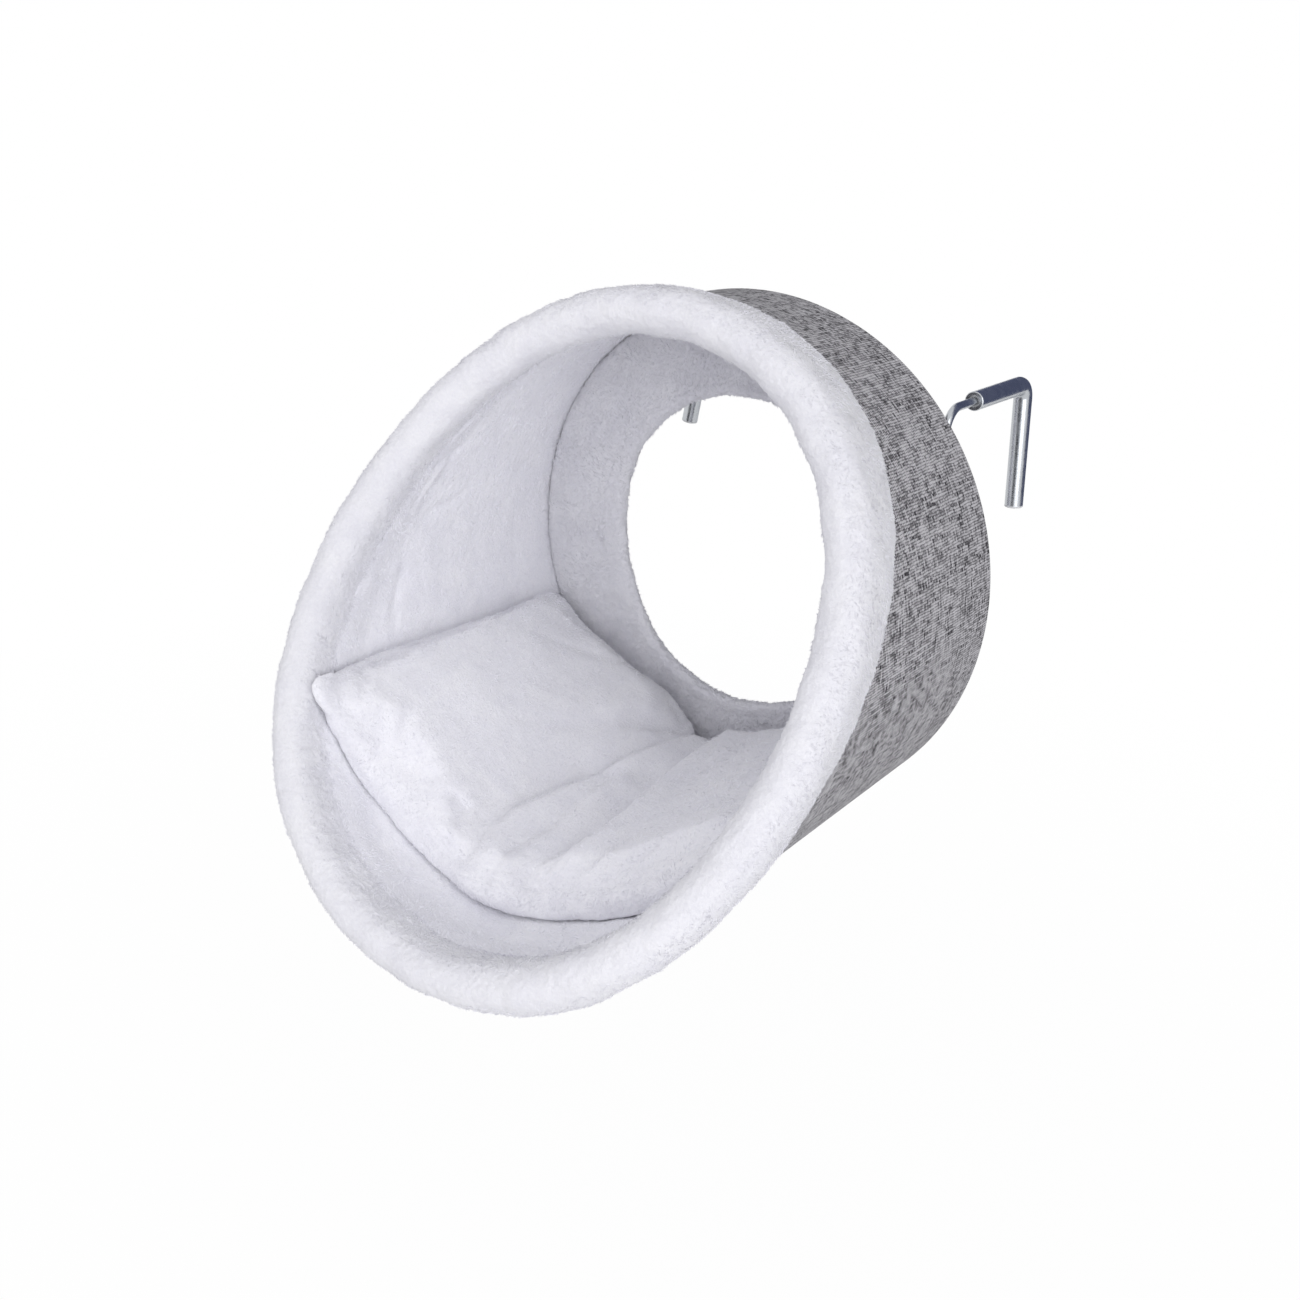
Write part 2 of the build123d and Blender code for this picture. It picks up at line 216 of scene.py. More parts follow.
def turned(name, profile, around, uv=False):
    """A closed shape with one profile of (radius, depth) points for each angle round the tube.

    profile is a function of an array of angles that returns the radii and depths of its points.
    """
    angles = np.linspace(0, math.tau, around, endpoint=False)[:, None]
    radius, depth = profile(angles)
    points = at(radius, angles, depth)
    cloth = None
    if uv:
        closed = np.linspace(0, math.tau, around + 1)[:, None]
        radius, depth = (np.hstack((a, a[:, :1])) for a in profile(closed))
        steps = np.hypot(np.diff(radius, axis=1), np.diff(depth, axis=1))
        along = depth[:, :1] - np.hstack((np.zeros((around + 1, 1)), np.cumsum(steps, 1)))
        cloth = np.stack((np.broadcast_to(closed * SLEEVE_RADIUS, along.shape), along), axis=-1)
    obj = grid_object(name, points, cloth)
    face_outwards(obj)
    return obj


# Nodes
def feed(tree, node, values):
    """Sets a node's inputs. A value that is a socket is linked."""
    for key, value in values.items():
        if isinstance(value, bpy.types.NodeSocket):
            tree.links.new(value, node.inputs[key])
        else:
            node.inputs[key].default_value = value


def add(tree, kind, values=(), **settings):
    """A node with its inputs and settings."""
    node = tree.nodes.new(kind)
    for key, value in settings.items():
        setattr(node, key, value)
    feed(tree, node, dict(values))
    return node


def calc(tree, operation, *values):
    """The result of a Math node."""
    return add(tree, "ShaderNodeMath", dict(enumerate(values)), operation=operation).outputs[0]


def plus(tree, first, second):
    return calc(tree, "ADD", first, second)


def minus(tree, first, second):
    return calc(tree, "SUBTRACT", first, second)


def times(tree, first, second):
    return calc(tree, "MULTIPLY", first, second)


def ranged(tree, value, low, high, to_low=0.0, to_high=1.0):
    """A value mapped from one range to another and clamped."""
    return add(tree, "ShaderNodeMapRange", {
        0: value, 1: low, 2: high, 3: to_low, 4: to_high}).outputs[0]


def cloud(tree, place, size, detail=2.0, rough=0.5, warp=0.0):
    """A noise value with features of a size in metres."""
    return add(tree, "ShaderNodeTexNoise", {
        "Vector": place, "Scale": calc(tree, "DIVIDE", 1.0, size), "Detail": detail,
        "Roughness": rough, "Distortion": warp}).outputs[0]


def scaled(tree, vector, factor):
    """A vector or colour times a value."""
    return add(tree, "ShaderNodeVectorMath", {0: vector, "Scale": factor},
               operation="SCALE").outputs[0]


def combined(tree, *parts):
    return add(tree, "ShaderNodeCombineXYZ", dict(enumerate(parts))).outputs[0]


def mixed(tree, amount, first, second):
    """Two colours mixed by an amount."""
    return add(tree, "ShaderNodeMix", {0: amount, 6: first, 7: second},
               data_type="RGBA").outputs[2]


def blended(tree, amount, first, second):
    """Two values mixed by an amount."""
    return add(tree, "ShaderNodeMix", {0: amount, 2: first, 3: second}).outputs[0]


def new_tree(kind, name, inputs, outputs):
    """A node tree with named sockets, given as label and kind, and those sockets inside it."""
    tree = bpy.data.node_groups.new(name, kind)
    for way, sockets in (("INPUT", inputs), ("OUTPUT", outputs)):
        for label, sort in sockets.items():
            tree.interface.new_socket(label, in_out=way, socket_type="NodeSocket" + sort)
    source = tree.nodes.new("NodeGroupInput")
    result = tree.nodes.new("NodeGroupOutput")
    return tree, source.outputs, result.inputs


def floats(*labels):
    return dict.fromkeys(labels, "Float")


# Geometry node trees
def geometry_tree(name, inputs):
    """A tree that takes a geometry, its own inputs and a material."""
    return new_tree("GeometryNodeTree", name, {
        "Geometry": "Geometry", **inputs, "Material": "Material"}, {"Geometry": "Geometry"})


def close_tree(tree, geometry, source, result):
    """Ends a tree with Realize Instances and Set Material."""
    real = add(tree, "GeometryNodeRealizeInstances", {"Geometry": geometry})
    dressed = add(tree, "GeometryNodeSetMaterial", {
        "Geometry": real.outputs[0], "Material": source["Material"]})
    tree.links.new(dressed.outputs[0], result["Geometry"])
    return tree


def uneven(tree, size, height, detail):
    """A noise height for each point, about zero."""
    place = add(tree, "GeometryNodeInputPosition").outputs[0]
    centred = minus(tree, cloud(tree, place, size, detail), 0.5)
    return times(tree, centred, times(tree, height, 2.0))


def relief_tree(name):
    """Moves a plush surface in and out: soft lumps and clumps of pile."""
    tree, source, result = geometry_tree(
        name, floats("Lump height", "Lump size", "Pile height", "Pile size"))
    lumps = uneven(tree, source["Lump size"], source["Lump height"], 1.0)
    pile = uneven(tree, source["Pile size"], source["Pile height"], 2.0)
    normal = add(tree, "GeometryNodeInputNormal").outputs[0]
    moved = add(tree, "GeometryNodeSetPosition", {
        "Geometry": source["Geometry"], "Offset": scaled(tree, normal, plus(tree, lumps, pile))})
    return close_tree(tree, moved.outputs[0], source, result)


def random_value(tree, low, high, seed):
    return add(tree, "FunctionNodeRandomValue", {2: low, 3: high, "Seed": seed},
               data_type="FLOAT").outputs[1]


def tuft_tree(name):
    """Scatters tufts of pile that lie with the nap, as dense as the tuft share says."""
    tree, source, result = geometry_tree(name, {
        **floats("Density", "Length", "Width", "Lean", "Nap size"), "Seed": "Int"})
    seed = source["Seed"]
    where = add(tree, "GeometryNodeInputNamedAttribute", {"Name": "tuft_share"},
                data_type="FLOAT")
    points = add(tree, "GeometryNodeDistributePointsOnFaces", {
        "Mesh": source["Geometry"], "Seed": seed,
        "Density": times(tree, where.outputs["Attribute"], source["Density"])}).outputs
    tuft = add(tree, "GeometryNodeMeshCone", {
        "Vertices": 3, "Radius Top": 0.0, "Radius Bottom": times(tree, source["Width"], 0.5),
        "Depth": source["Length"]})
    placed = add(tree, "GeometryNodeInstanceOnPoints", {
        "Points": points["Points"], "Instance": tuft.outputs["Mesh"],
        "Rotation": points["Rotation"], "Scale": random_value(tree, 0.55, 1.3, seed)})
    place = add(tree, "GeometryNodeInputPosition").outputs[0]
    nap = cloud(tree, place, source["Nap size"], 1.0)
    lean = random_value(tree, times(tree, source["Lean"], 0.7), source["Lean"], seed)
    stray = random_value(tree, -0.9, 0.9, plus(tree, seed, 1.0))
    spin = calc(tree, "MULTIPLY_ADD", nap, math.tau * 2, stray)
    turn = add(tree, "FunctionNodeEulerToRotation", {0: combined(tree, lean, 0.0, spin)})
    leaning = add(tree, "GeometryNodeRotateInstances", {
        "Instances": placed.outputs[0], "Rotation": turn.outputs[0]})
    return close_tree(tree, leaning.outputs[0], source, result)


def stitch_tree(name):
    """Sets stitches end to end along a line of edges."""
    tree, source, result = geometry_tree(name, floats("Pitch", "Length", "Thickness"))
    line = add(tree, "GeometryNodeMeshToCurve", {"Mesh": source["Geometry"]})
    even = add(tree, "GeometryNodeResampleCurve", {
        "Curve": line.outputs[0], "Length": source["Pitch"]}, mode="LENGTH")
    bead = add(tree, "GeometryNodeMeshUVSphere", {"Segments": 8, "Rings": 6, "Radius": 0.5})
    shape = combined(tree, source["Length"], source["Thickness"], source["Thickness"])
    tangent = add(tree, "GeometryNodeInputTangent").outputs[0]
    turn = add(tree, "FunctionNodeAlignRotationToVector", {"Vector": tangent}, axis="X")
    placed = add(tree, "GeometryNodeInstanceOnPoints", {
        "Points": even.outputs[0], "Instance": bead.outputs["Mesh"],
        "Rotation": turn.outputs[0], "Scale": shape})
    return close_tree(tree, placed.outputs[0], source, result)


def baked(obj, modifier):
    """The plain mesh that a modifier makes of an object. The modifier is removed."""
    graph = bpy.context.evaluated_depsgraph_get()
    mesh = bpy.data.meshes.new_from_object(obj.evaluated_get(graph), depsgraph=graph)
    obj.modifiers.remove(modifier)
    return mesh


def grown(obj, name, values):
    """The plain mesh that a tree makes of an object."""
    tree = get_tree(name)
    modifier = obj.modifiers.new(name, "NODES")
    modifier.node_group = tree
    for item in tree.interface.items_tree:
        if item.in_out == "INPUT" and item.name in values:
            modifier[item.identifier] = values[item.name]
    return baked(obj, modifier)


def swap_mesh(obj, mesh):
    """Gives an object a finished mesh in place of its old one."""
    old, obj.data = obj.data, mesh
    mesh.name = obj.name
    smooth_faces(mesh)
    bpy.data.meshes.remove(old)


def applied(obj, kind, **settings):
    """Applies one modifier through the evaluated object."""
    modifier = obj.modifiers.new(kind, kind)
    for key, value in settings.items():
        setattr(modifier, key, value)
    swap_mesh(obj, baked(obj, modifier))


def raise_pile(obj, part):
    """Gives a plush piece the lumps, the pile and the finish of its part."""
    size = sizes()
    lump_share, pile_share = PLUSH_RELIEF[part]
    swap_mesh(obj, grown(obj, "Plush relief", {
        "Lump height": size.lump_height * lump_share, "Lump size": size.lump_size,
        "Pile height": size.pile_height * pile_share, "Pile size": size.pile_size,
        "Material": material(part + " plush")}))


def hand_over(obj, body, slot, *nodes):
    """Rides a piece on a body and hides the CAD nodes it stands for. slot is not used."""
    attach(obj, body)
    if nodes:
        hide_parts(*nodes)


def plush_round(name, profile, around, part, *nodes):
    """A plush piece round the tube, in place of CAD nodes."""
    obj = turned(name, profile, around)
    raise_pile(obj, part)
    hand_over(obj, "cave", "plush", *nodes)
    return obj


def add_attribute(obj, name, values):
    """A value for each vertex of an object's mesh."""
    layer = obj.data.attributes.new(name, "FLOAT", "POINT")
    layer.data.foreach_set("value", np.asarray(values, np.float32))


def tufted(name, obj, tuft_share, part, seed, longer=1.0, body="cave"):
    """A piece of loose tufts on a plush piece, as dense as tuft_share says at each vertex."""
    add_attribute(obj, "tuft_share", tuft_share)
    mesh = grown(obj, "Plush tufts", {
        "Density": TUFT_DENSITY[part], "Length": sizes().tuft_length * longer,
        "Width": sizes().tuft_width, "Lean": TUFT_LEAN, "Nap size": NAP_SIZE, "Seed": seed,
        "Material": material(part + " tufts")})
    obj.data.attributes.remove(obj.data.attributes["tuft_share"])
    mesh.name = name
    hand_over(linked(name, mesh), body, "plush")


def vectors(obj, kind="co"):
    """The vertex places of an object's mesh, or their normals, as an array."""
    found = np.zeros(len(obj.data.vertices) * 3, np.float32)
    obj.data.vertices.foreach_get(kind, found)
    return found.reshape(-1, 3).astype(float)


def move_to(obj, points):
    """Puts the vertices of an object's mesh at these places."""
    obj.data.vertices.foreach_set("co", points.astype(np.float32).ravel())
    obj.data.update()


# Shader node groups
def pile_group(name):
    """Short plush pile: colour with painted shade in brushed patches and down in the pile, and its
    height.
    """
    group, source, result = new_tree("ShaderNodeTree", name, {
        "Vector": "Vector", "Tip": "Color", "Root": "Color",
        **floats("Pile size", "Patch size", "Patch strength")},
        {"Color": "Color", "Height": "Float"})
    place = source["Vector"]
    patches = cloud(group, place, source["Patch size"], 3.0, 0.6, 0.6)
    clumps = cloud(group, place, source["Pile size"], 3.0, 0.6, 0.4)
    fine = cloud(group, place, times(group, source["Pile size"], 0.35))
    height = plus(group, times(group, clumps, 0.7), times(group, fine, 0.3))
    # Painted shade: brushed patches and the low places of the pile mix towards the root's shade
    # colour
    patch = times(group, ranged(group, patches, 0.3, 0.7), source["Patch strength"])
    deep = times(group, ranged(group, height, 0.62, 0.3), 0.55)
    tint = mixed(group, plus(group, patch, deep), source["Tip"], source["Root"])
    group.links.new(tint, result["Color"])
    group.links.new(height, result["Height"])
    return group


def thread(group, across, along, offset):
    """Shade and roundness of the threads that run one way, from the places across and along."""
    index = calc(group, "FLOOR", across)
    own = add(group, "ShaderNodeTexWhiteNoise", {"W": plus(group, index, offset)},
              noise_dimensions="1D").outputs[0]
    spot = combined(group, times(group, along, 0.22), times(group, index, 3.7), offset)
    slub = ranged(group, cloud(group, spot, 1.0), 0.25, 0.75)
    shade = plus(group, times(group, own, 0.2), times(group, slub, 0.8))
    rise = calc(group, "ABSOLUTE", calc(group, "SINE", times(group, across, math.pi)))
    return shade, rise


def weave_group(name):
    """Plain linen weave of slubbed threads in several greys, with painted shade at the threads'
    edges: colour and height.
    """
    group, source, result = new_tree("ShaderNodeTree", name, {
        "Vector": "Vector", "Light": "Color", "Dark": "Color", **floats("Pitch", "Blend size")},
        {"Color": "Color", "Height": "Float"})
    wobble = cloud(group, source["Vector"], 0.012, 1.0)
    parts = add(group, "ShaderNodeSeparateXYZ", {0: source["Vector"]}).outputs
    drift = times(group, minus(group, wobble, 0.5), 0.9)
    u, v = (plus(group, calc(group, "DIVIDE", part, source["Pitch"]), drift)
            for part in (parts[0], parts[1]))
    warp, warp_rise = thread(group, u, v, 11.0)
    weft, weft_rise = thread(group, v, u, 47.0)
    turn = plus(group, calc(group, "FLOOR", u), calc(group, "FLOOR", v))
    odd = calc(group, "MODULO", calc(group, "ABSOLUTE", turn), 2.0)
    over = calc(group, "GREATER_THAN", odd, 0.5)
    # Each thread shows most where it lies on top, and still a little where it dives under; its
    # colour is darkened by its roundness towards its edges, a painted shade
    warp_line, weft_line = (times(group, tone, plus(group, rise, 0.25))
                            for tone, rise in ((warp, warp_rise), (weft, weft_rise)))
    shade = blended(group, ranged(group, over, 0.0, 1.0, 0.25, 0.75), warp_line, weft_line)
    blend = cloud(group, source["Vector"], source["Blend size"], 3.0, 0.6)
    lift = times(group, minus(group, blend, 0.5), 0.35)
    mix = plus(group, ranged(group, shade, 0.22, 0.62), lift)
    group.links.new(mixed(group, mix, source["Dark"], source["Light"]), result["Color"])
    group.links.new(blended(group, over, warp_rise, weft_rise), result["Height"])
    return group


def grain_group(name):
    """Fine uneven grain for boards, foam, plastic and plating: a mask and a height."""
    group, source, result = new_tree("ShaderNodeTree", name, {
        "Vector": "Vector", "Stretch": "Vector", **floats("Size", "Contrast")},
        floats("Mask", "Height"))
    place = add(group, "ShaderNodeVectorMath", {0: source["Vector"], 1: source["Stretch"]},
                operation="MULTIPLY").outputs[0]
    coarse = cloud(group, place, source["Size"], 4.0, 0.65, 0.3)
    half = times(group, source["Contrast"], 0.5)
    mask = ranged(group, coarse, plus(group, 0.5, half), minus(group, 0.5, half))
    group.links.new(mask, result["Mask"])
    group.links.new(coarse, result["Height"])
    return group


TREES = {
    "Plush relief": relief_tree, "Plush tufts": tuft_tree, "Seam stitches": stitch_tree,
    "Short pile": pile_group, "Linen weave": weave_group, "Surface grain": grain_group,
}


def get_tree(name):
    """A tree by its name, made the first time."""
    return bpy.data.node_groups.get(name) or TREES[name](name)


# Materials
def new_material(name):
    """A material, its node tree and its Principled shader."""
    material = bpy.data.materials.new(name)
    material.use_nodes = True
    return material, material.node_tree, material.node_tree.nodes["Principled BSDF"]


def toned(value, factor):
    return [min(1.0, c * factor) for c in value]


def rgba(value):
    return (*value, 1.0)


def place_group(tree, name, values):
    """A shared shader group placed in a material, on Object coordinates unless told."""
    if "Vector" not in values:
        values = {"Vector": add(tree, "ShaderNodeTexCoord").outputs["Object"], **values}
    return add(tree, "ShaderNodeGroup", values, node_tree=get_tree(name)).outputs


def bump(tree, height, strength, distance):
    """A normal raised by a height."""
    return add(tree, "ShaderNodeBump", {
        "Height": height, "Strength": strength, "Distance": distance}).outputs[0]


def plush_colours(tone):
    """The plush colour at the tip of its pile and the painted shade at its root, darkened by a
    part's painted shade factor.
    """
    return [rgba(toned(shade, tone)) for shade in (finish().plush, finish().plush_shade)]


def plush_material(part):
    """Short pile in one part's painted shade, with painted shade in brushed patches and down in the
    pile.
    """
    material, tree, shader = new_material(part + " plush")
    tip, root = plush_colours(1.0 if part == "Roll" else PLUSH_PAINTED_SHADE[part])
    pile = place_group(tree, "Short pile", {
        "Tip": tip, "Root": root, "Pile size": 0.0016, "Patch size": 0.03,
        "Patch strength": 0.5})
    tint = pile["Color"]
    if part == "Roll":
        # Painted shade: the roll is darkened by its factor, and its inner slope grows back as light
        # as the lining it meets
        slope = add(tree, "ShaderNodeAttribute", attribute_name="roll_shade_lift").outputs["Fac"]
        tint = scaled(tree, tint, ranged(tree, slope, 0.0, 1.0, PLUSH_PAINTED_SHADE["Roll"], 1.0))
    feed(tree, shader, {
        "Base Color": tint, "Normal": bump(tree, pile["Height"], 0.55, 0.0016),
        "Roughness": 0.95, "Sheen Weight": finish().plush_sheen, "Sheen Roughness": 0.6,
        "Specular IOR Level": 0.15})
    return material


def tuft_material(part):
    """Loose tufts in one part's painted shade, mottled towards the painted shade of the pile's root.
    """
    material, tree, shader = new_material(part + " tufts")
    grain = place_group(tree, "Surface grain", {
        "Size": 0.004, "Contrast": 0.6, "Stretch": (1, 1, 1)})
    feed(tree, shader, {
        "Base Color": mixed(tree, grain["Mask"], *plush_colours(PLUSH_PAINTED_SHADE[part])),
        "Roughness": 0.95, "Sheen Weight": finish().plush_sheen})
    return material


def linen_material():
    """Grey linen, woven along the cloth's own map."""
    material, tree, shader = new_material("Grey linen")
    look = finish()
    weave = place_group(tree, "Linen weave", {
        "Vector": add(tree, "ShaderNodeUVMap", uv_map="cloth").outputs[0],
        "Pitch": sizes().weave_pitch, "Blend size": 0.02,
        "Light": rgba(look.linen_light), "Dark": rgba(look.linen_dark)})
    feed(tree, shader, {
        "Base Color": weave["Color"], "Normal": bump(tree, weave["Height"], 0.5, 0.0004),
        "Roughness": 0.85, "Sheen Weight": 0.1, "Specular IOR Level": 0.2})
    return material


def grained(name, light, dark_share, size, contrast, roughness, metallic=0.0,
            stretch=(1, 1, 1), relief=0.0002, strength=0.3):
    """A material whose colour, roughness and relief vary with one grain."""
    material, tree, shader = new_material(name)
    grain = place_group(tree, "Surface grain", {
        "Size": size, "Contrast": contrast, "Stretch": stretch})
    feed(tree, shader, {
        "Base Color": mixed(tree, grain["Mask"], rgba(light), rgba(toned(light, dark_share))),
        "Roughness": ranged(tree, grain["Height"], 0.3, 0.7, *roughness),
        "Metallic": metallic, "Normal": bump(tree, grain["Height"], strength, relief)})
    return material


def material(name):
    """A finish by its name, made the first time."""
    if name in bpy.data.materials:
        return bpy.data.materials[name]
    part, _, kind = name.rpartition(" ")
    if kind in ("plush", "tufts"):
        return plush_material(part) if kind == "plush" else tuft_material(part)
    if name == "Grey linen":
        return linen_material()
    look = finish()
    plating = [look.zinc_roughness * factor for factor in (0.8, 1.5)]
    # Colour, share of it in the dark grain, grain size, contrast, roughness and the rest
    return grained(name, *{
        "Grey linen thread": (toned(look.linen_light, 0.8), 0.5, 0.0008, 0.5, (0.8, 0.95)),
        "Zinc plating": (look.zinc, 0.82, 0.006, 0.6, plating, 1.0, (1, 1, 1), 0.0001, 0.08),
        "Fibreboard": (look.board, 0.6, 0.002, 0.5, (0.7, 0.95)),
        "Soft foam": (look.foam, 0.75, 0.0012, 0.5, (0.85, 1.0)),
        "Fibre filling": (look.filling, 0.8, 0.003, 0.6, (0.9, 1.0), 0.0, (1, 1, 4), 0.001, 0.6),
        "Pale plastic": (look.plastic, 0.7, 0.0008, 0.4, (0.4, 0.55)),
    }[name])


def paint(obj, name):
    """Gives an object one finish."""
    obj.data.materials.clear()
    obj.data.materials.append(material(name))


def dress(node, name):
    """Gives a CAD node its finish."""
    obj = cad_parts[node]
    paint(obj, name)


# Profiles round the tube: each returns radii and depths for an array of angles
def smooth(value):
    """An eased step from 0 to 1."""
    value = np.clip(value, 0, 1)
    return value * value * (3 - 2 * value)


def bell(offset, width):
    """A smooth hump of height 1 round zero."""
    return np.exp(-(offset / width) ** 2)


def row(values):
    return np.asarray(values, float)[None, :]


def profile_of(angle, *pieces):
    """Radii and depths of a whole profile from its pieces of (radii, depths)."""
    whole = angle * 0
    return [np.hstack([whole + piece[k] for piece in pieces]) for k in (0, 1)]


def behind_roll(angle, depth):
    """How far a depth is behind the roll's middle, measured square to the roll."""
    return (edge_depth(angle) - depth) / edge_stretch(angle)


def rim_slope(angle, depth):
    """Radius of the plush that falls from the roll's inside to the wall, at a depth."""
    size = sizes()
    behind = behind_roll(angle, depth)
    inner = CENTRE_RADIUS - size.roll_radius
    crease = size.crease_depth * bell(behind - size.crease_place, CREASE_WIDTH)
    return inner + (WALL_INSIDE - inner) * smooth(behind / size.slope_length) + crease


def roll_profile(angle):
    """The stuffed roll: its collar, the roll, and the slope to the wall, with a hidden return."""
    size = sizes()
    stretch, middle = edge_stretch(angle), edge_depth(angle)
    end = middle - size.collar_length - size.collar_lap
    # Along the collar's outside, easing up to the roll
    run = row(np.linspace(0.03, 1, 26, endpoint=False))
    rise = CENTRE_RADIUS + size.roll_radius - COLLAR_RADIUS
    collar = COLLAR_RADIUS + rise * np.sin(run * math.pi / 2), end + (middle - end) * run
    # Round the front of the roll
    turn = row(np.radians(np.linspace(0, 180, 38)))
    roll = (CENTRE_RADIUS + size.roll_radius * np.cos(turn),
            middle + stretch * size.roll_radius * np.sin(turn))
    # Down to the crease and under the lining
    under = size.crease_place + CREASE_LAP
    slope_d = middle - stretch * under * row(np.linspace(0, 1, 26)[1:])
    sink = smooth((behind_roll(angle, slope_d) - size.crease_place) / CREASE_EASE)
    slope = rim_slope(angle, slope_d) + CREASE_SINK * sink, slope_d
    # Hidden return under the slope and the collar
    last = middle - stretch * under
    hidden = (SLEEVE_RADIUS + row([-0.008, -0.0004, -0.0002, 0.0002, 0.0002, 0.0012]),
              np.hstack((last, (last + middle - 0.012) / 2, (middle + end) / 2 - 0.002,
                         end + 0.004, end + 0.0008, end)))
    return profile_of(angle, collar, roll, slope, hidden)


def core_profile(angle):
    """The foam roll inside the plush."""
    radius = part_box("rim_core")[1].x - CENTRE_RADIUS
    turn = row(np.linspace(0, math.tau, 20, endpoint=False))
    depth = edge_depth(angle) + edge_stretch(angle) * radius * np.sin(turn)
    return profile_of(angle, (CENTRE_RADIUS + radius * np.cos(turn), depth))


def sleeve_profile(angle):
    """The linen sleeve from the collar back and round the corner of the back face."""
    size = sizes()
    thick = LINEN_THICKNESS
    front = edge_depth(angle) - size.collar_length
    slack = size.sleeve_slack * (np.sin(3 * angle + 1.1) + 0.6 * np.sin(7 * angle + 0.4)) * 0.5
    run = row(np.linspace(0, 1, 26))
    outer = SLEEVE_RADIUS + slack * np.sin(math.pi * run), front + (0.0016 - front) * run
    corner = (SLEEVE_RADIUS - row([0.0003, 0.001, 0.002, 0.0032]), row([0.0007, 0.0002, 0, 0]))
    inner = SLEEVE_RADIUS - row([0.0032, 0.002, thick]), row([thick, thick, 0.002])
    return profile_of(angle, outer, corner, inner, (row([SLEEVE_RADIUS - thick]), front))


def back_cloth_profile(angle):
    """The flat linen ring on the back face."""
    outside, inside = SLEEVE_RADIUS - 0.0026, HOLE_RADIUS - 0.0002
    run = row(np.linspace(0, 1, 22))
    ripple = 0.00018 * np.sin(5 * angle + 9 * run) * np.sin(math.pi * run)
    return profile_of(angle, (outside + (inside - outside) * run, 0.00032 + ripple),
                      (row([inside, outside]), row([LINEN_THICKNESS, LINEN_THICKNESS])))


def ridge(across, along, slant, long, wide, bend=0.0):
    """A slanted ridge of height 1 at places across and along it, which may bend."""
    u = across * math.cos(slant) + along * math.sin(slant)
    w = along * math.cos(slant) - across * math.sin(slant) - bend * np.sin(u / long * 2)
    return np.exp(-(u / long) ** 2 - (w / wide) ** 2)


# Dents and wrinkles in the wall lining: angle, depth, half length, half width, slant, rise
WALL_WRINKLES = [
    (157, 0.150, 0.020, 0.0035, 0.5, -0.0028),
    (162, 0.128, 0.016, 0.0032, 0.9, -0.0024),
    (168, 0.140, 0.022, 0.0040, 0.3, 0.0018),
    (175, 0.120, 0.018, 0.0032, 1.1, -0.0020),
    (150, 0.118, 0.020, 0.0040, 0.7, 0.0016),
    (-168, 0.165, 0.024, 0.0045, 0.2, -0.0018),
    (-172, 0.190, 0.020, 0.0050, 1.3, 0.0016),
    (60, 0.060, 0.022, 0.0040, 0.4, 0.0009),
    (110, 0.055, 0.020, 0.0040, 0.2, -0.0009),
    (15, 0.120, 0.024, 0.0045, 0.6, -0.0010),
]
WRINKLE_BEND = 0.004


def wrinkle(angle, depth):
    """How far the wrinkles push the wall lining in towards the axis."""
    total = angle * depth * 0
    for middle, deep, long, wide, slant, rise in WALL_WRINKLES:
        off = (angle - math.radians(middle) + math.pi) % math.tau - math.pi
        total = total + rise * ridge(
            off * WALL_INSIDE, depth - deep, slant, long, wide, WRINKLE_BEND)
    return total


def wall_profile(angle):
    """The plush wall lining from the back ring up the slope to the crease behind the roll."""
    size = sizes()
    back = RING_BACK + 0.0004
    front = edge_depth(angle) - edge_stretch(angle) * (size.crease_place - CREASE_LAP)
    depth = back + (front - back) * row(np.linspace(0, 1, 130))
    sink = smooth((size.crease_place - behind_roll(angle, depth)) / CREASE_EASE)
    inner = rim_slope(angle, depth) - wrinkle(angle, depth) + CREASE_SINK * sink
    return profile_of(angle, (inner, depth), (
        row([WALL_OUTSIDE, WALL_OUTSIDE]), np.hstack((front, front * 0 + back))))


def ring_profile(angle):
    """The plush ring on the back wall: full at its edge, with a tight crease at the wall."""
    outside, inside = WALL_INSIDE - 0.0006, HOLE_RADIUS - 0.0015
    back, front, edge = RING_BACK + 0.0002, RING_FRONT, 0.004
    shape = (outside - row([0, 0.0004, 0.0016, edge]),
             front + row([-0.0032, -0.0012, -0.0002, 0.0003]))
    run = row(np.linspace(0.08, 1, 30))
    flat = front + 0.0004 * np.sin(math.pi * run) + 0.0002 * np.sin(4 * angle + 6 * run)
    # The inner edge dips under the edging
    flat = flat - 0.0012 * smooth((run - 0.86) / 0.14)
    return profile_of(angle, shape, (outside - edge + (inside - outside + edge) * run, flat),
                      (row([inside, outside]), row([back, back])))


# Where the hole's lip sags inwards, and how far round
LIP_ANGLE, LIP_SPREAD = math.radians(196), math.radians(42)


def edging_profile(angle):
    """The plush rolled over the edge of the hole, from the inside to the back face."""
    front, thick = -EDGING_BOX[0].y, 0.0035
    turn = row(np.radians(np.linspace(90, 270, 22)))
    waves = 0.0004 * np.sin(9 * angle) + 0.0003 * np.sin(23 * angle + 1)
    bulge = sizes().lip_bulge * bell(angle - LIP_ANGLE, LIP_SPREAD)
    rolled = (HOLE_RADIUS - 0.004 + thick + (thick + waves + bulge) * np.cos(turn),
              front / 2 + front / 2 * np.sin(turn))
    first = HOLE_RADIUS + row([0.0061, 0.0044, 0.0024]), front + row([-0.0012, -0.0001, 0.0001])
    last = HOLE_RADIUS + row([0.0006, 0.0006]), row([0.0, 0.002])
    return profile_of(angle, first, rolled, last)


# Cushion, laid out by angle round the tube's axis and depth
CUSHION_LEFT, CUSHION_RIGHT = math.radians(-157.2), math.radians(-25.5)
# How much farther up the wall the left edge lies in front
CUSHION_TWIST = math.radians(1.2)
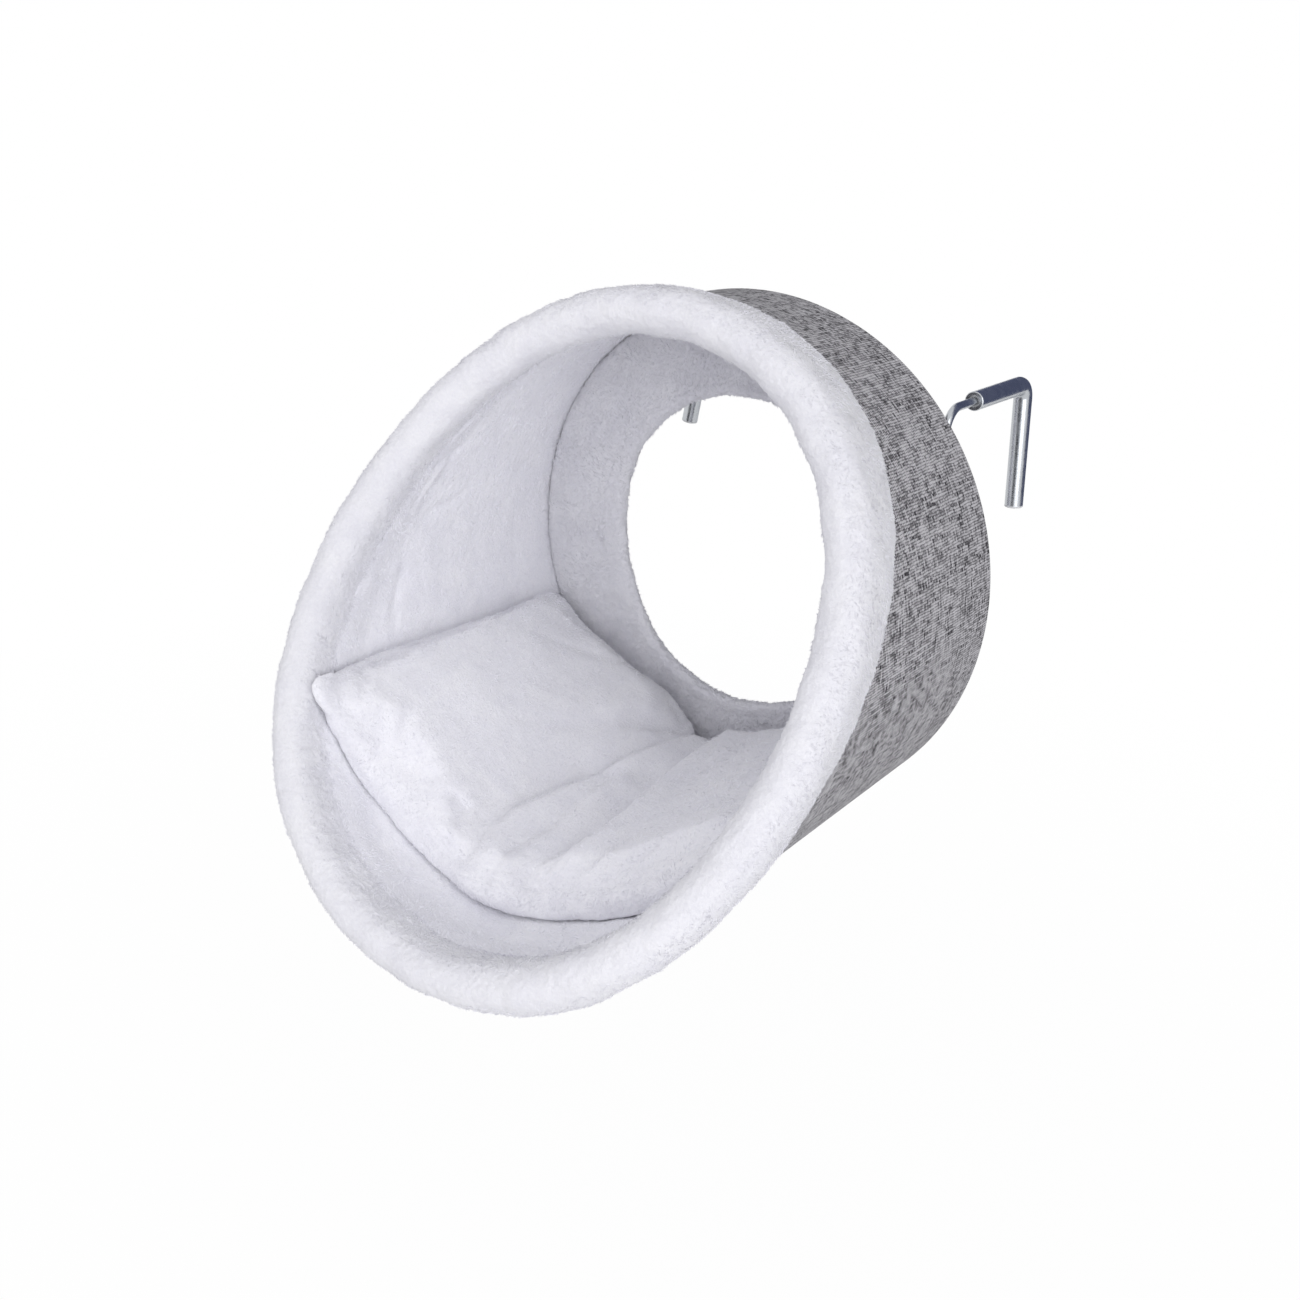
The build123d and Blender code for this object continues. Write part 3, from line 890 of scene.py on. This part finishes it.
# Front edge: angle in degrees and depth
CUSHION_FRONT = [
    (-157, 0.268), (-150, 0.260), (-143, 0.255), (-132, 0.252), (-124, 0.249), (-112, 0.249),
    (-99, 0.252), (-91, 0.254), (-85, 0.250), (-80, 0.242), (-74, 0.237), (-66, 0.233),
    (-58, 0.227), (-45, 0.224), (-25, 0.228),
]
# Fullness across the cushion: angle in degrees and share of the crown
CUSHION_FULLNESS = [
    (-157, 0.50), (-146, 0.78), (-134, 0.95), (-122, 1.0), (-112, 0.98), (-102, 0.86),
    (-94, 0.78), (-86, 0.76), (-78, 0.82), (-66, 0.92), (-52, 0.94), (-38, 0.78), (-25, 0.50),
]
# How much higher the back edge stands: angle in degrees and rise
CUSHION_BACK = [
    (-157, 0.0), (-146, 0.001), (-132, 0.007), (-116, 0.013), (-103, 0.019), (-96, 0.017),
    (-90, 0.010), (-84, 0.006), (-72, 0.008), (-60, 0.009), (-40, 0.006), (-25, 0.0),
]
# How far from an edge the cushion comes to its fullness: front, back, left and right
CUSHION_ROUND = (0.020, 0.015, 0.055, 0.060)
# How far the corners are drawn in at the back and in front, and how high the seam lies
CORNER_BACK, CORNER_FRONT, CUSHION_SEAM = 0.024, 0.011, 0.010
# Folds: points of (angle in degrees, depth), how deep the valley, how high the crest, how wide
CUSHION_FOLDS = [
    ([(-98, 0.231), (-101, 0.214), (-102.4, 0.196), (-100.7, 0.157), (-97.8, 0.125),
      (-93, 0.080), (-89, 0.044), (-86, 0.016)], 0.0080, 0.0058, 1.0),
    ([(-88, 0.252), (-90, 0.236), (-90.4, 0.214), (-90.4, 0.186), (-92, 0.151), (-91, 0.128)],
     0.0050, 0.0034, 0.75),
    ([(-81.8, 0.224), (-80.3, 0.208), (-78.4, 0.181), (-78.3, 0.155), (-80.5, 0.111),
       (-79.3, 0.070), (-78.5, 0.036), (-79.5, 0.016)], 0.0060, 0.0042, 0.85),
    ([(-77.5, 0.232), (-78.0, 0.209), (-76.5, 0.188)], 0.0022, 0.0016, 0.7),
]
# Soft dents: angle in degrees, depth, half length, half width, slant in degrees, how deep
CUSHION_DENTS = [
    (-132.8, 0.244, 0.014, 0.0045, 62, 0.0030),
    (-127.5, 0.228, 0.014, 0.0070, 65, 0.0018),
    (-121.5, 0.245, 0.008, 0.0035, 55, 0.0018),
    (-129.0, 0.170, 0.050, 0.0360, 35, 0.0016),
    (-133.0, 0.060, 0.036, 0.0045, 140, 0.0014),
    (-113.0, 0.108, 0.034, 0.0070, 120, 0.0016),
]
# Radii that turn an angle on the cushion into a distance, for folds and for dents
FOLD_REACH, DENT_REACH = 0.132, 0.125
# Points across and along the cushion before it is inflated, and for how many frames it is
CUSHION_GRID, CLOTH_STEPS = (96, 60), 20


def eased_table(values, at_angle):
    """A value from a short table of (angle in degrees, value), with its corners rounded off."""
    angles, spread = np.radians([a for a, _ in values]), math.radians(3.0)
    steps = [np.interp(at_angle + spread * k, angles, [v for _, v in values])
             for k in (-1.5, -0.75, 0, 0.75, 1.5)]
    return sum(steps) / len(steps)


def cushion_floor(angle, depth):
    """Radius of what the cushion lies on: the lining, and the slope of the roll in front."""
    return np.minimum(WALL_INSIDE - 0.0009, rim_slope(angle, depth) - 0.0012)


def rounding(distance, reach):
    """How full the cushion is at a distance from its edge, as a quarter of an ellipse."""
    return np.sqrt(1 - (1 - np.clip(distance / reach, 0, 1)) ** 2)


def cushion_start():
    """The cushion before the pressure: two sheets over a curved outline, joined at the seam."""
    t, s = (np.sin(np.linspace(-1, 1, count) * math.pi / 2) for count in CUSHION_GRID)
    t, s = t[:, None], s[None, :]
    angle = (CUSHION_LEFT + CUSHION_RIGHT) / 2 + (CUSHION_RIGHT - CUSHION_LEFT) / 2 * t
    corner = 1 - np.sqrt(1 - np.clip((np.abs(t) - 0.90) / 0.10, 0, 1) ** 2)
    back = RING_FRONT + 0.0035 + CORNER_BACK * corner
    front = eased_table(CUSHION_FRONT, angle) + 0.0005 - CORNER_FRONT * corner
    depth = (front + back) / 2 + (front - back) / 2 * s
    floor = cushion_floor(angle + depth * 0, depth)
    to_left, to_right = (angle - CUSHION_LEFT) * floor, (CUSHION_RIGHT - angle) * floor
    to_front, to_back = front - depth, depth - back
    fall = 0.46 * rounding(to_front, CUSHION_ROUND[0])
    fall = fall + 0.54 * np.sin(np.clip(to_front / 0.17, 0, 1) * math.pi / 2)
    for gone, reach in zip((to_back, to_left, to_right), CUSHION_ROUND[1:]):
        fall = fall * rounding(gone, reach)
    full = sizes().cushion_crown * eased_table(CUSHION_FULLNESS, angle)
    full = full + eased_table(CUSHION_BACK, angle) * smooth((0.150 - depth) / 0.125)
    top = floor - CUSHION_SEAM - (full - CUSHION_SEAM - 0.004) * fall
    nearest = np.minimum(np.minimum(to_front, to_back), np.minimum(to_left, to_right))
    bottom = floor - CUSHION_SEAM * (1 - rounding(nearest, 0.016))
    angle = angle - CUSHION_TWIST * smooth(depth / 0.18) * np.clip(-t, 0, 1) ** 2
    return at(top, angle, depth), at(bottom, angle, depth)


def closed_pad(name, upper, lower):
    """A closed mesh from two grids that share their outline."""
    first = np.arange(upper[..., 0].size).reshape(upper.shape[:2])
    quads = np.stack((first[:-1, :-1], first[1:, :-1], first[1:, 1:], first[:-1, 1:]), -1)
    quads = quads.reshape(-1, 4)
    faces = np.concatenate((quads, (quads + first.size)[:, ::-1]))
    obj = mesh_object(name, np.concatenate((upper, lower)).reshape(-1, 3), faces)
    face_outwards(obj, 0.0002)
    return obj


def inflate(obj):
    """Blows the cushion up with cloth pressure and caps how far a point may move."""
    start = vectors(obj)
    cloth = obj.modifiers.new("Cloth", "CLOTH")
    cloth.settings.effector_weights.gravity = 0.0
    for key, value in {
            "use_pressure": True, "uniform_pressure_force": 4.0, "quality": 5, "mass": 0.3,
            "tension_stiffness": 15.0, "compression_stiffness": 15.0, "bending_stiffness": 0.4,
            "shrink_min": -0.02}.items():
        setattr(cloth.settings, key, value)
    scene = bpy.context.scene
    for step in range(CLOTH_STEPS):
        scene.frame_set(step + 1)
    moved = vectors(obj.evaluated_get(bpy.context.evaluated_depsgraph_get())) - start
    obj.modifiers.remove(cloth)
    scene.frame_set(1)
    far = np.linalg.norm(moved, axis=1, keepdims=True)
    move_to(obj, start + moved * np.minimum(1, sizes().cushion_swell / np.maximum(far, 1e-9)))


def cylindrical(obj):
    """Radius, angle and depth of an object's vertices."""
    x, y, z = vectors(obj).T
    return np.hypot(x, z), np.arctan2(z, x), -y


def fold_line(line, depth):
    """Angle of a fold at each depth and how far past its ends a depth is."""
    order = sorted(line, key=lambda point: point[1])
    depths = [d for _, d in order]
    angle = np.radians(np.interp(depth, depths, [a for a, _ in order]))
    return angle, np.maximum(np.maximum(depths[0] - depth, depth - depths[-1]), 0)


def fold_shape(off, valley, crest, wide):
    """Height across a fold: a slow fall to a valley, a steep rise and a slowly falling crest."""
    valley_place, crest_place, steep = -0.0065, 0.0060, 0.0080
    down = np.where(off < valley_place, 0.030, steep) * wide
    up = np.where(off < crest_place, steep, 0.020) * wide
    return crest * bell(off - crest_place, up) - valley * bell(off - valley_place, down)


def press_folds(obj):
    """Presses the folds, the dents and the front seam into the top of the cushion."""
    radius, angle, depth = cylindrical(obj)
    above = cushion_floor(angle, depth) - radius
    inward = -np.stack((np.cos(angle), np.zeros_like(angle), np.sin(angle)), axis=1)
    up = smooth((vectors(obj, "normal") * inward).sum(1) * 1.4 + 0.1)
    rise = np.zeros_like(radius)
    for line, valley, crest, wide in CUSHION_FOLDS:
        middle, past = fold_line(line, depth)
        # Folds narrow and flatten towards their front ends
        grown_up = smooth((max(d for _, d in line) + 0.012 - depth) / 0.085)
        shape = fold_shape((angle - middle) * FOLD_REACH, valley, crest,
                           wide * (0.50 + 0.50 * grown_up))
        rise += shape * (0.70 + 0.30 * grown_up) * bell(past, 0.012)
    for middle, deep, long, wide, slant, drop in CUSHION_DENTS:
        across = (angle - math.radians(middle)) * DENT_REACH
        rise -= drop * ridge(across, depth - deep, math.radians(slant), long, wide)
    from_seam = eased_table(CUSHION_FRONT, angle) - depth - 0.012
    rise -= 0.0014 * bell(from_seam, 0.0020) * smooth((angle + 1.55) / 0.2)
    lowest = -np.maximum(above - 0.009, 0) * 0.75
    move_to(obj, at(radius - np.maximum(rise * up, lowest), angle, depth))


def rest_on_floor(obj, gap):
    """Keeps the cushion off what it lies on and off the back ring."""
    radius, angle, depth = cylindrical(obj)
    radius = np.minimum(radius, cushion_floor(angle, depth) - gap)
    move_to(obj, at(radius, angle, np.maximum(depth, RING_FRONT + 0.0016)))


def drop_lumps(obj, height, size):
    """Slow uneven lumps of the filling under the cloth."""
    points = vectors(obj)
    lift = np.array([noise.noise(Vector(p) / size) for p in points.tolist()])
    move_to(obj, points + vectors(obj, "normal") * (lift * height)[:, None])


class CATCAVE_OT_linen(bpy.types.Operator):
    """Sews the grey linen sleeve and the linen ring on the back"""

    bl_idname = "cat_cave.linen"
    bl_label = "Linen covers"

    def execute(self, context):
        sleeve = turned("linen_sleeve", sleeve_profile, LINEN_ROUND, uv=True)
        paint(sleeve, "Grey linen")
        hand_over(sleeve, "cave", "grey_linen", "outer_cover")
        back = turned("linen_back", back_cloth_profile, COARSE_ROUND, uv=True)
        # The ring's cloth is one flat round, so its map is its place on the back face
        loops = np.zeros(len(back.data.loops), np.int32)
        back.data.loops.foreach_get("vertex_index", loops)
        back.data.uv_layers["cloth"].data.foreach_set(
            "uv", vectors(back)[loops][:, [0, 2]].astype(np.float32).ravel())
        paint(back, "Grey linen")
        hand_over(back, "cave", "grey_linen", "back_cover")
        self.seam()
        return {"FINISHED"}

    def seam(self):
        """Stitches round the back face, where the ring is sewn to the sleeve."""
        pitch, count = sizes().stitch_pitch, COARSE_ROUND
        turn = np.linspace(0, math.tau, count, endpoint=False)
        line = mesh_object("back_seam_stitches", at(SLEEVE_RADIUS - 0.0056, turn, 0.00025),
                           edges=[(k, (k + 1) % count) for k in range(count)])
        swap_mesh(line, grown(line, "Seam stitches", {
            "Pitch": pitch, "Length": pitch * 0.78, "Thickness": 0.0009,
            "Material": material("Grey linen thread")}))
        hand_over(line, "cave", "grey_linen")


class CATCAVE_OT_rim(bpy.types.Operator):
    """Makes the stuffed plush roll round the mouth, its foam and its tufts"""

    bl_idname = "cat_cave.rim"
    bl_label = "Stuffed rim"

    def execute(self, context):
        roll = plush_round("plush_roll", roll_profile, FINEST_ROUND, "Roll",
                           "rim_cover", "rim_collar")
        radius, angle, depth = cylindrical(roll)
        outer = smooth((radius - SLEEVE_RADIUS - 0.0005) / 0.002)
        inner = smooth((rim_slope(angle, depth) + 0.0025 - radius) / 0.001)
        # Where the roll's painted shade is lifted to the lining's colour: its inner slope
        add_attribute(roll, "roll_shade_lift", inner * smooth(behind_roll(angle, depth) / 0.016))
        tufted("plush_roll_pile", roll, np.maximum(outer, inner), "Roll", 3)
        core = turned("foam_roll", core_profile, COARSE_ROUND)
        paint(core, "Soft foam")
        hand_over(core, "cave", "foam", "rim_core")
        return {"FINISHED"}


class CATCAVE_OT_lining(bpy.types.Operator):
    """Lines the wall and the back with plush and rolls it over the hole's edge"""

    bl_idname = "cat_cave.lining"
    bl_label = "Plush lining"

    def execute(self, context):
        wall = plush_round("plush_wall", wall_profile, FINE_ROUND, "Lining", "wall_lining")
        radius, angle, depth = cylindrical(wall)
        shown = smooth((rim_slope(angle, depth) + 0.0025 - radius) / 0.001)
        seam = smooth((RING_FRONT + 0.006 - depth) / 0.003)
        crease = smooth(1 - np.abs(behind_roll(angle, depth) - sizes().crease_place) / 0.006)
        thick = 0.3 + 0.7 * np.maximum(seam, crease)
        tufted("plush_wall_pile", wall, shown * thick, "Lining", 11)
        ring = plush_round("plush_back_ring", ring_profile, FINE_ROUND, "Ring", "back_lining")
        edging = plush_round("plush_hole_edging", edging_profile, FINE_ROUND, "Ring",
                             "hole_edging")
        depth = cylindrical(edging)[2]
        tufted("hole_edging_pile", edging, smooth((depth - 0.001) / 0.002), "Ring", 5)
        depth = cylindrical(ring)[2]
        tufted("back_ring_pile", ring, smooth((depth - RING_FRONT + 0.0035) / 0.002), "Ring", 7,
               1.15)
        return {"FINISHED"}


# How far the cushion's cloth stays off the lining, without and with its pile
CLOTH_GAP, PILE_GAP = 0.0006, 0.0002
# Height and width of the slow lumps of the filling, how far it is drawn in from the cloth, and
# its mesh size
FILLING_LUMPS, FILLING_GAP, FILLING_VOXEL = (0.0016, 0.045), 0.0018, 0.005


class CATCAVE_OT_cushion(bpy.types.Operator):
    """Stuffs the loose cushion, folds it to the floor and gives it its pile"""

    bl_idname = "cat_cave.cushion"
    bl_label = "Loose cushion"

    def execute(self, context):
        cushion = closed_pad("plush_cushion", *cushion_start())
        applied(cushion, "REMESH", mode="VOXEL", voxel_size=sizes().cushion_voxel)
        applied(cushion, "SMOOTH", factor=0.5, iterations=2)
        inflate(cushion)
        rest_on_floor(cushion, CLOTH_GAP)
        drop_lumps(cushion, *FILLING_LUMPS)
        applied(cushion, "SUBSURF", levels=1, render_levels=1)
        press_folds(cushion)
        rest_on_floor(cushion, CLOTH_GAP)
        filling = linked("cushion_stuffing", cushion.data.copy())
        raise_pile(cushion, "Cushion")
        rest_on_floor(cushion, PILE_GAP)
        hand_over(cushion, "cushion", "plush", "cushion_cover")
        radius, angle, depth = cylindrical(cushion)
        above = cushion_floor(angle, depth) - radius
        near_front = smooth((depth - eased_table(CUSHION_FRONT, angle) + 0.016) / 0.012)
        near_left = smooth((CUSHION_LEFT + 0.10 - angle) / 0.06)
        near_back = smooth((0.012 + RING_FRONT - depth) / 0.008)
        near_edge = np.maximum(np.maximum(near_front, near_left), near_back)
        thick = smooth((above - 0.003) / 0.003) * (0.25 + 0.75 * near_edge)
        tufted("plush_cushion_pile", cushion, thick, "Cushion", 13, body="cushion")
        move_to(filling, vectors(filling) - vectors(filling, "normal") * FILLING_GAP)
        applied(filling, "REMESH", mode="VOXEL", voxel_size=FILLING_VOXEL)
        paint(filling, "Fibre filling")
        hand_over(filling, "cushion", "filling", "cushion_filling")
        return {"FINISHED"}


class CATCAVE_OT_boards(bpy.types.Operator):
    """Finishes the boards, staples and tee nuts inside the walls"""

    bl_idname = "cat_cave.boards"
    bl_label = "Boards and fixings"

    def execute(self, context):
        for node in ("shell_board", "back_board"):
            dress(node, "Fibreboard")
        for node in ("back_staples", "tee_nuts", "clip_screws"):
            dress(node, "Zinc plating")
        return {"FINISHED"}


class CATCAVE_OT_hooks(bpy.types.Operator):
    """Finishes the hook rods, tubes, clips, bushes and plugs"""

    bl_idname = "cat_cave.hooks"
    bl_label = "Radiator hooks"

    def execute(self, context):
        for side in ("left", "right"):
            for part in ("hook_rod", "hook_tube", "upper_clip", "lower_clip"):
                dress(side + "_" + part, "Zinc plating")
            dress(side + "_guide_bush", "Pale plastic")
            dress(side + "_end_plug", "Pale plastic")
        return {"FINISHED"}


def seen_directly(tree):
    """1 for a ray from the camera, a mirror or glass, and 0 for one that lights."""
    rays = add(tree, "ShaderNodeLightPath").outputs
    seen = calc(tree, "MAXIMUM", rays["Is Camera Ray"], rays["Is Glossy Ray"])
    return calc(tree, "MAXIMUM", seen, rays["Is Transmission Ray"])


def show(tree, end, shader):
    """Makes a shader the surface of a material or the world."""
    tree.links.new(shader.outputs[0], tree.nodes[end].inputs["Surface"])


def shader_mix(tree, amount, first, second):
    return add(tree, "ShaderNodeMixShader", {0: amount, 1: first.outputs[0],
                                             2: second.outputs[0]})


def glow(tree, shade):
    return add(tree, "ShaderNodeEmission", {"Color": rgba(shade), "Strength": 1.0})


WHITE = (1, 1, 1)
SQUARE = np.array([(-1, -1, 0), (1, -1, 0), (1, 1, 0), (-1, 1, 0)])
FLOOR_LEVEL, FLOOR_HALF = -0.42, 6.0
# Cards that only the hooks' plating reflects, behind it and in front: place, half size, colour
CARDS = {
    "slate_card": ((0.55, 0.95, 0.55), (1.4, 1.5, 0), (0.10, 0.115, 0.19)),
    "grey_card": ((0.35, -2.3, 0.1), (0.95, 1.0, 0), (0.30, 0.32, 0.36)),
}
# Soft light round the front, dim behind and above
WORLD_TINT, WORLD_BRIGHT, WORLD_DIM = (0.985, 0.985, 1.0), 1.06, 0.12
KEY_PLACE, KEY_TARGET, KEY_WIDTH, KEY_POWER = (1.8, -1.65, 0.45), (0.0, -0.12, 0.0), 2.0, 26.0
# The camera as it was fitted to the photograph: turn, height and roll in degrees
CAMERA_TURN, CAMERA_TARGET, CAMERA_DISTANCE = (34.54, 21.353, 5.307), (0.0, -0.1225, 0.0), 0.8606
FRAME_PIXELS, FOCAL_PIXELS, CENTRE_PIXELS, SENSOR = 1300, 1406.27, (-10.4, -54.4), 36.0


class CATCAVE_OT_stage(bpy.types.Operator):
    """Sets the floor, the light and the camera"""

    bl_idname = "cat_cave.stage"
    bl_label = "Stage"

    def execute(self, context):
        self.floor()
        self.cards()
        self.world(context)
        self.key_light()
        self.camera(context)
        context.scene.view_settings.view_transform = "Standard"
        return {"FINISHED"}

    def floor(self):
        """A pale floor with a faint shadow near the object, and plain white farther off."""
        obj = mesh_object("floor", SQUARE * FLOOR_HALF + (0, 0, FLOOR_LEVEL), [(0, 1, 2, 3)])
        pale, tree, shader = new_material("Pale floor")
        tree.nodes.remove(shader)
        spot = add(tree, "ShaderNodeTexCoord").outputs["Object"]
        away = add(tree, "ShaderNodeVectorMath", {0: spot}, operation="LENGTH").outputs["Value"]
        white = times(tree, seen_directly(tree), ranged(tree, away, 0.5, 1.1, 0.975, 1.0))
        matt = add(tree, "ShaderNodeBsdfDiffuse", {"Color": (0.85, 0.85, 0.85, 1)})
        show(tree, "Material Output", shader_mix(tree, white, matt, glow(tree, WHITE)))
        obj.data.materials.append(pale)

    def cards(self):
        for name, (place, half, shade) in CARDS.items():
            turn = Vector(place).to_track_quat("Z", "Y").to_matrix()
            obj = mesh_object(
                name, SQUARE * half @ np.array(turn).T + place, [(0, 1, 2, 3)])
            for ray in ("camera", "diffuse", "transmission", "shadow", "volume_scatter"):
                setattr(obj, "visible_" + ray, False)
            card, tree, shader = new_material(name)
            tree.nodes.remove(shader)
            show(tree, "Material Output", glow(tree, shade))
            obj.data.materials.append(card)

    def world(self, context):
        world = bpy.data.worlds.new("Studio")
        context.scene.world = world
        world.use_nodes = True
        tree = world.node_tree
        way = add(tree, "ShaderNodeTexCoord").outputs["Generated"]
        parts = add(tree, "ShaderNodeSeparateXYZ", {0: way}).outputs
        behind = plus(tree, times(tree, parts[1], 0.9), times(tree, parts[2], 0.23))
        soft = add(tree, "ShaderNodeBackground", {
            "Color": rgba(WORLD_TINT),
            "Strength": ranged(tree, behind, 0.0, 0.5, WORLD_BRIGHT, WORLD_DIM)})
        white = add(tree, "ShaderNodeBackground", {"Color": rgba(WHITE), "Strength": 1.0})
        show(tree, "World Output", shader_mix(tree, seen_directly(tree), soft, white))

    def key_light(self):
        light = bpy.data.lights.new("key", "AREA")
        light.size, light.energy = KEY_WIDTH, KEY_POWER
        obj = linked("key", light)
        obj.location = KEY_PLACE
        obj.rotation_mode = "QUATERNION"
        obj.rotation_quaternion = (Vector(KEY_PLACE) - Vector(KEY_TARGET)).to_track_quat("Z", "Y")

    def camera(self, context):
        turn, height, roll = (math.radians(a) for a in CAMERA_TURN)
        back = Vector((math.sin(turn) * math.cos(height), -math.cos(turn) * math.cos(height),
                       math.sin(height)))
        data = bpy.data.cameras.new("camera")
        data.sensor_width = SENSOR
        data.lens = SENSOR * FOCAL_PIXELS / FRAME_PIXELS
        data.shift_x = -CENTRE_PIXELS[0] / FRAME_PIXELS
        data.shift_y = CENTRE_PIXELS[1] / FRAME_PIXELS
        data.clip_start, data.clip_end = 0.01, 50.0
        obj = linked("camera", data)
        place = Matrix.Translation(Vector(CAMERA_TARGET) + back * CAMERA_DISTANCE)
        level = back.to_track_quat("Z", "Y").to_matrix().to_4x4()
        obj.matrix_world = place @ level @ Matrix.Rotation(roll, 4, "Z")
        context.scene.camera = obj


OPERATORS = [
    CATCAVE_OT_boards, CATCAVE_OT_linen, CATCAVE_OT_rim, CATCAVE_OT_lining,
    CATCAVE_OT_cushion, CATCAVE_OT_hooks, CATCAVE_OT_stage,
]


class CATCAVE_PT_panel(bpy.types.Panel):
    """Sizes, finishes and pieces of the cat cave"""

    bl_idname = "CATCAVE_PT_panel"
    bl_label = "Cat cave"
    bl_space_type = "VIEW_3D"
    bl_region_type = "UI"
    bl_category = "Cat cave"

    def draw(self, context):
        layout = self.layout
        for group in (context.scene.cat_cave_sizes, context.scene.cat_cave_finish):
            box = layout.box()
            for name in group.__annotations__:
                box.prop(group, name)
        for operator in OPERATORS:
            layout.operator(operator.bl_idname)


CLASSES = [CatCaveSizes, CatCaveFinish, *OPERATORS, CATCAVE_PT_panel]


def register():
    for cls in CLASSES:
        bpy.utils.register_class(cls)
    bpy.types.Scene.cat_cave_sizes = bpy.props.PointerProperty(type=CatCaveSizes)
    bpy.types.Scene.cat_cave_finish = bpy.props.PointerProperty(type=CatCaveFinish)


def unregister():
    del bpy.types.Scene.cat_cave_sizes
    del bpy.types.Scene.cat_cave_finish
    for cls in reversed(CLASSES):
        bpy.utils.unregister_class(cls)


def main():
    register()
    bpy.ops.cat_cave.boards()
    bpy.ops.cat_cave.linen()
    bpy.ops.cat_cave.rim()
    bpy.ops.cat_cave.lining()
    bpy.ops.cat_cave.cushion()
    bpy.ops.cat_cave.hooks()
    bpy.ops.cat_cave.stage()


if __name__ == "__main__":
    main()
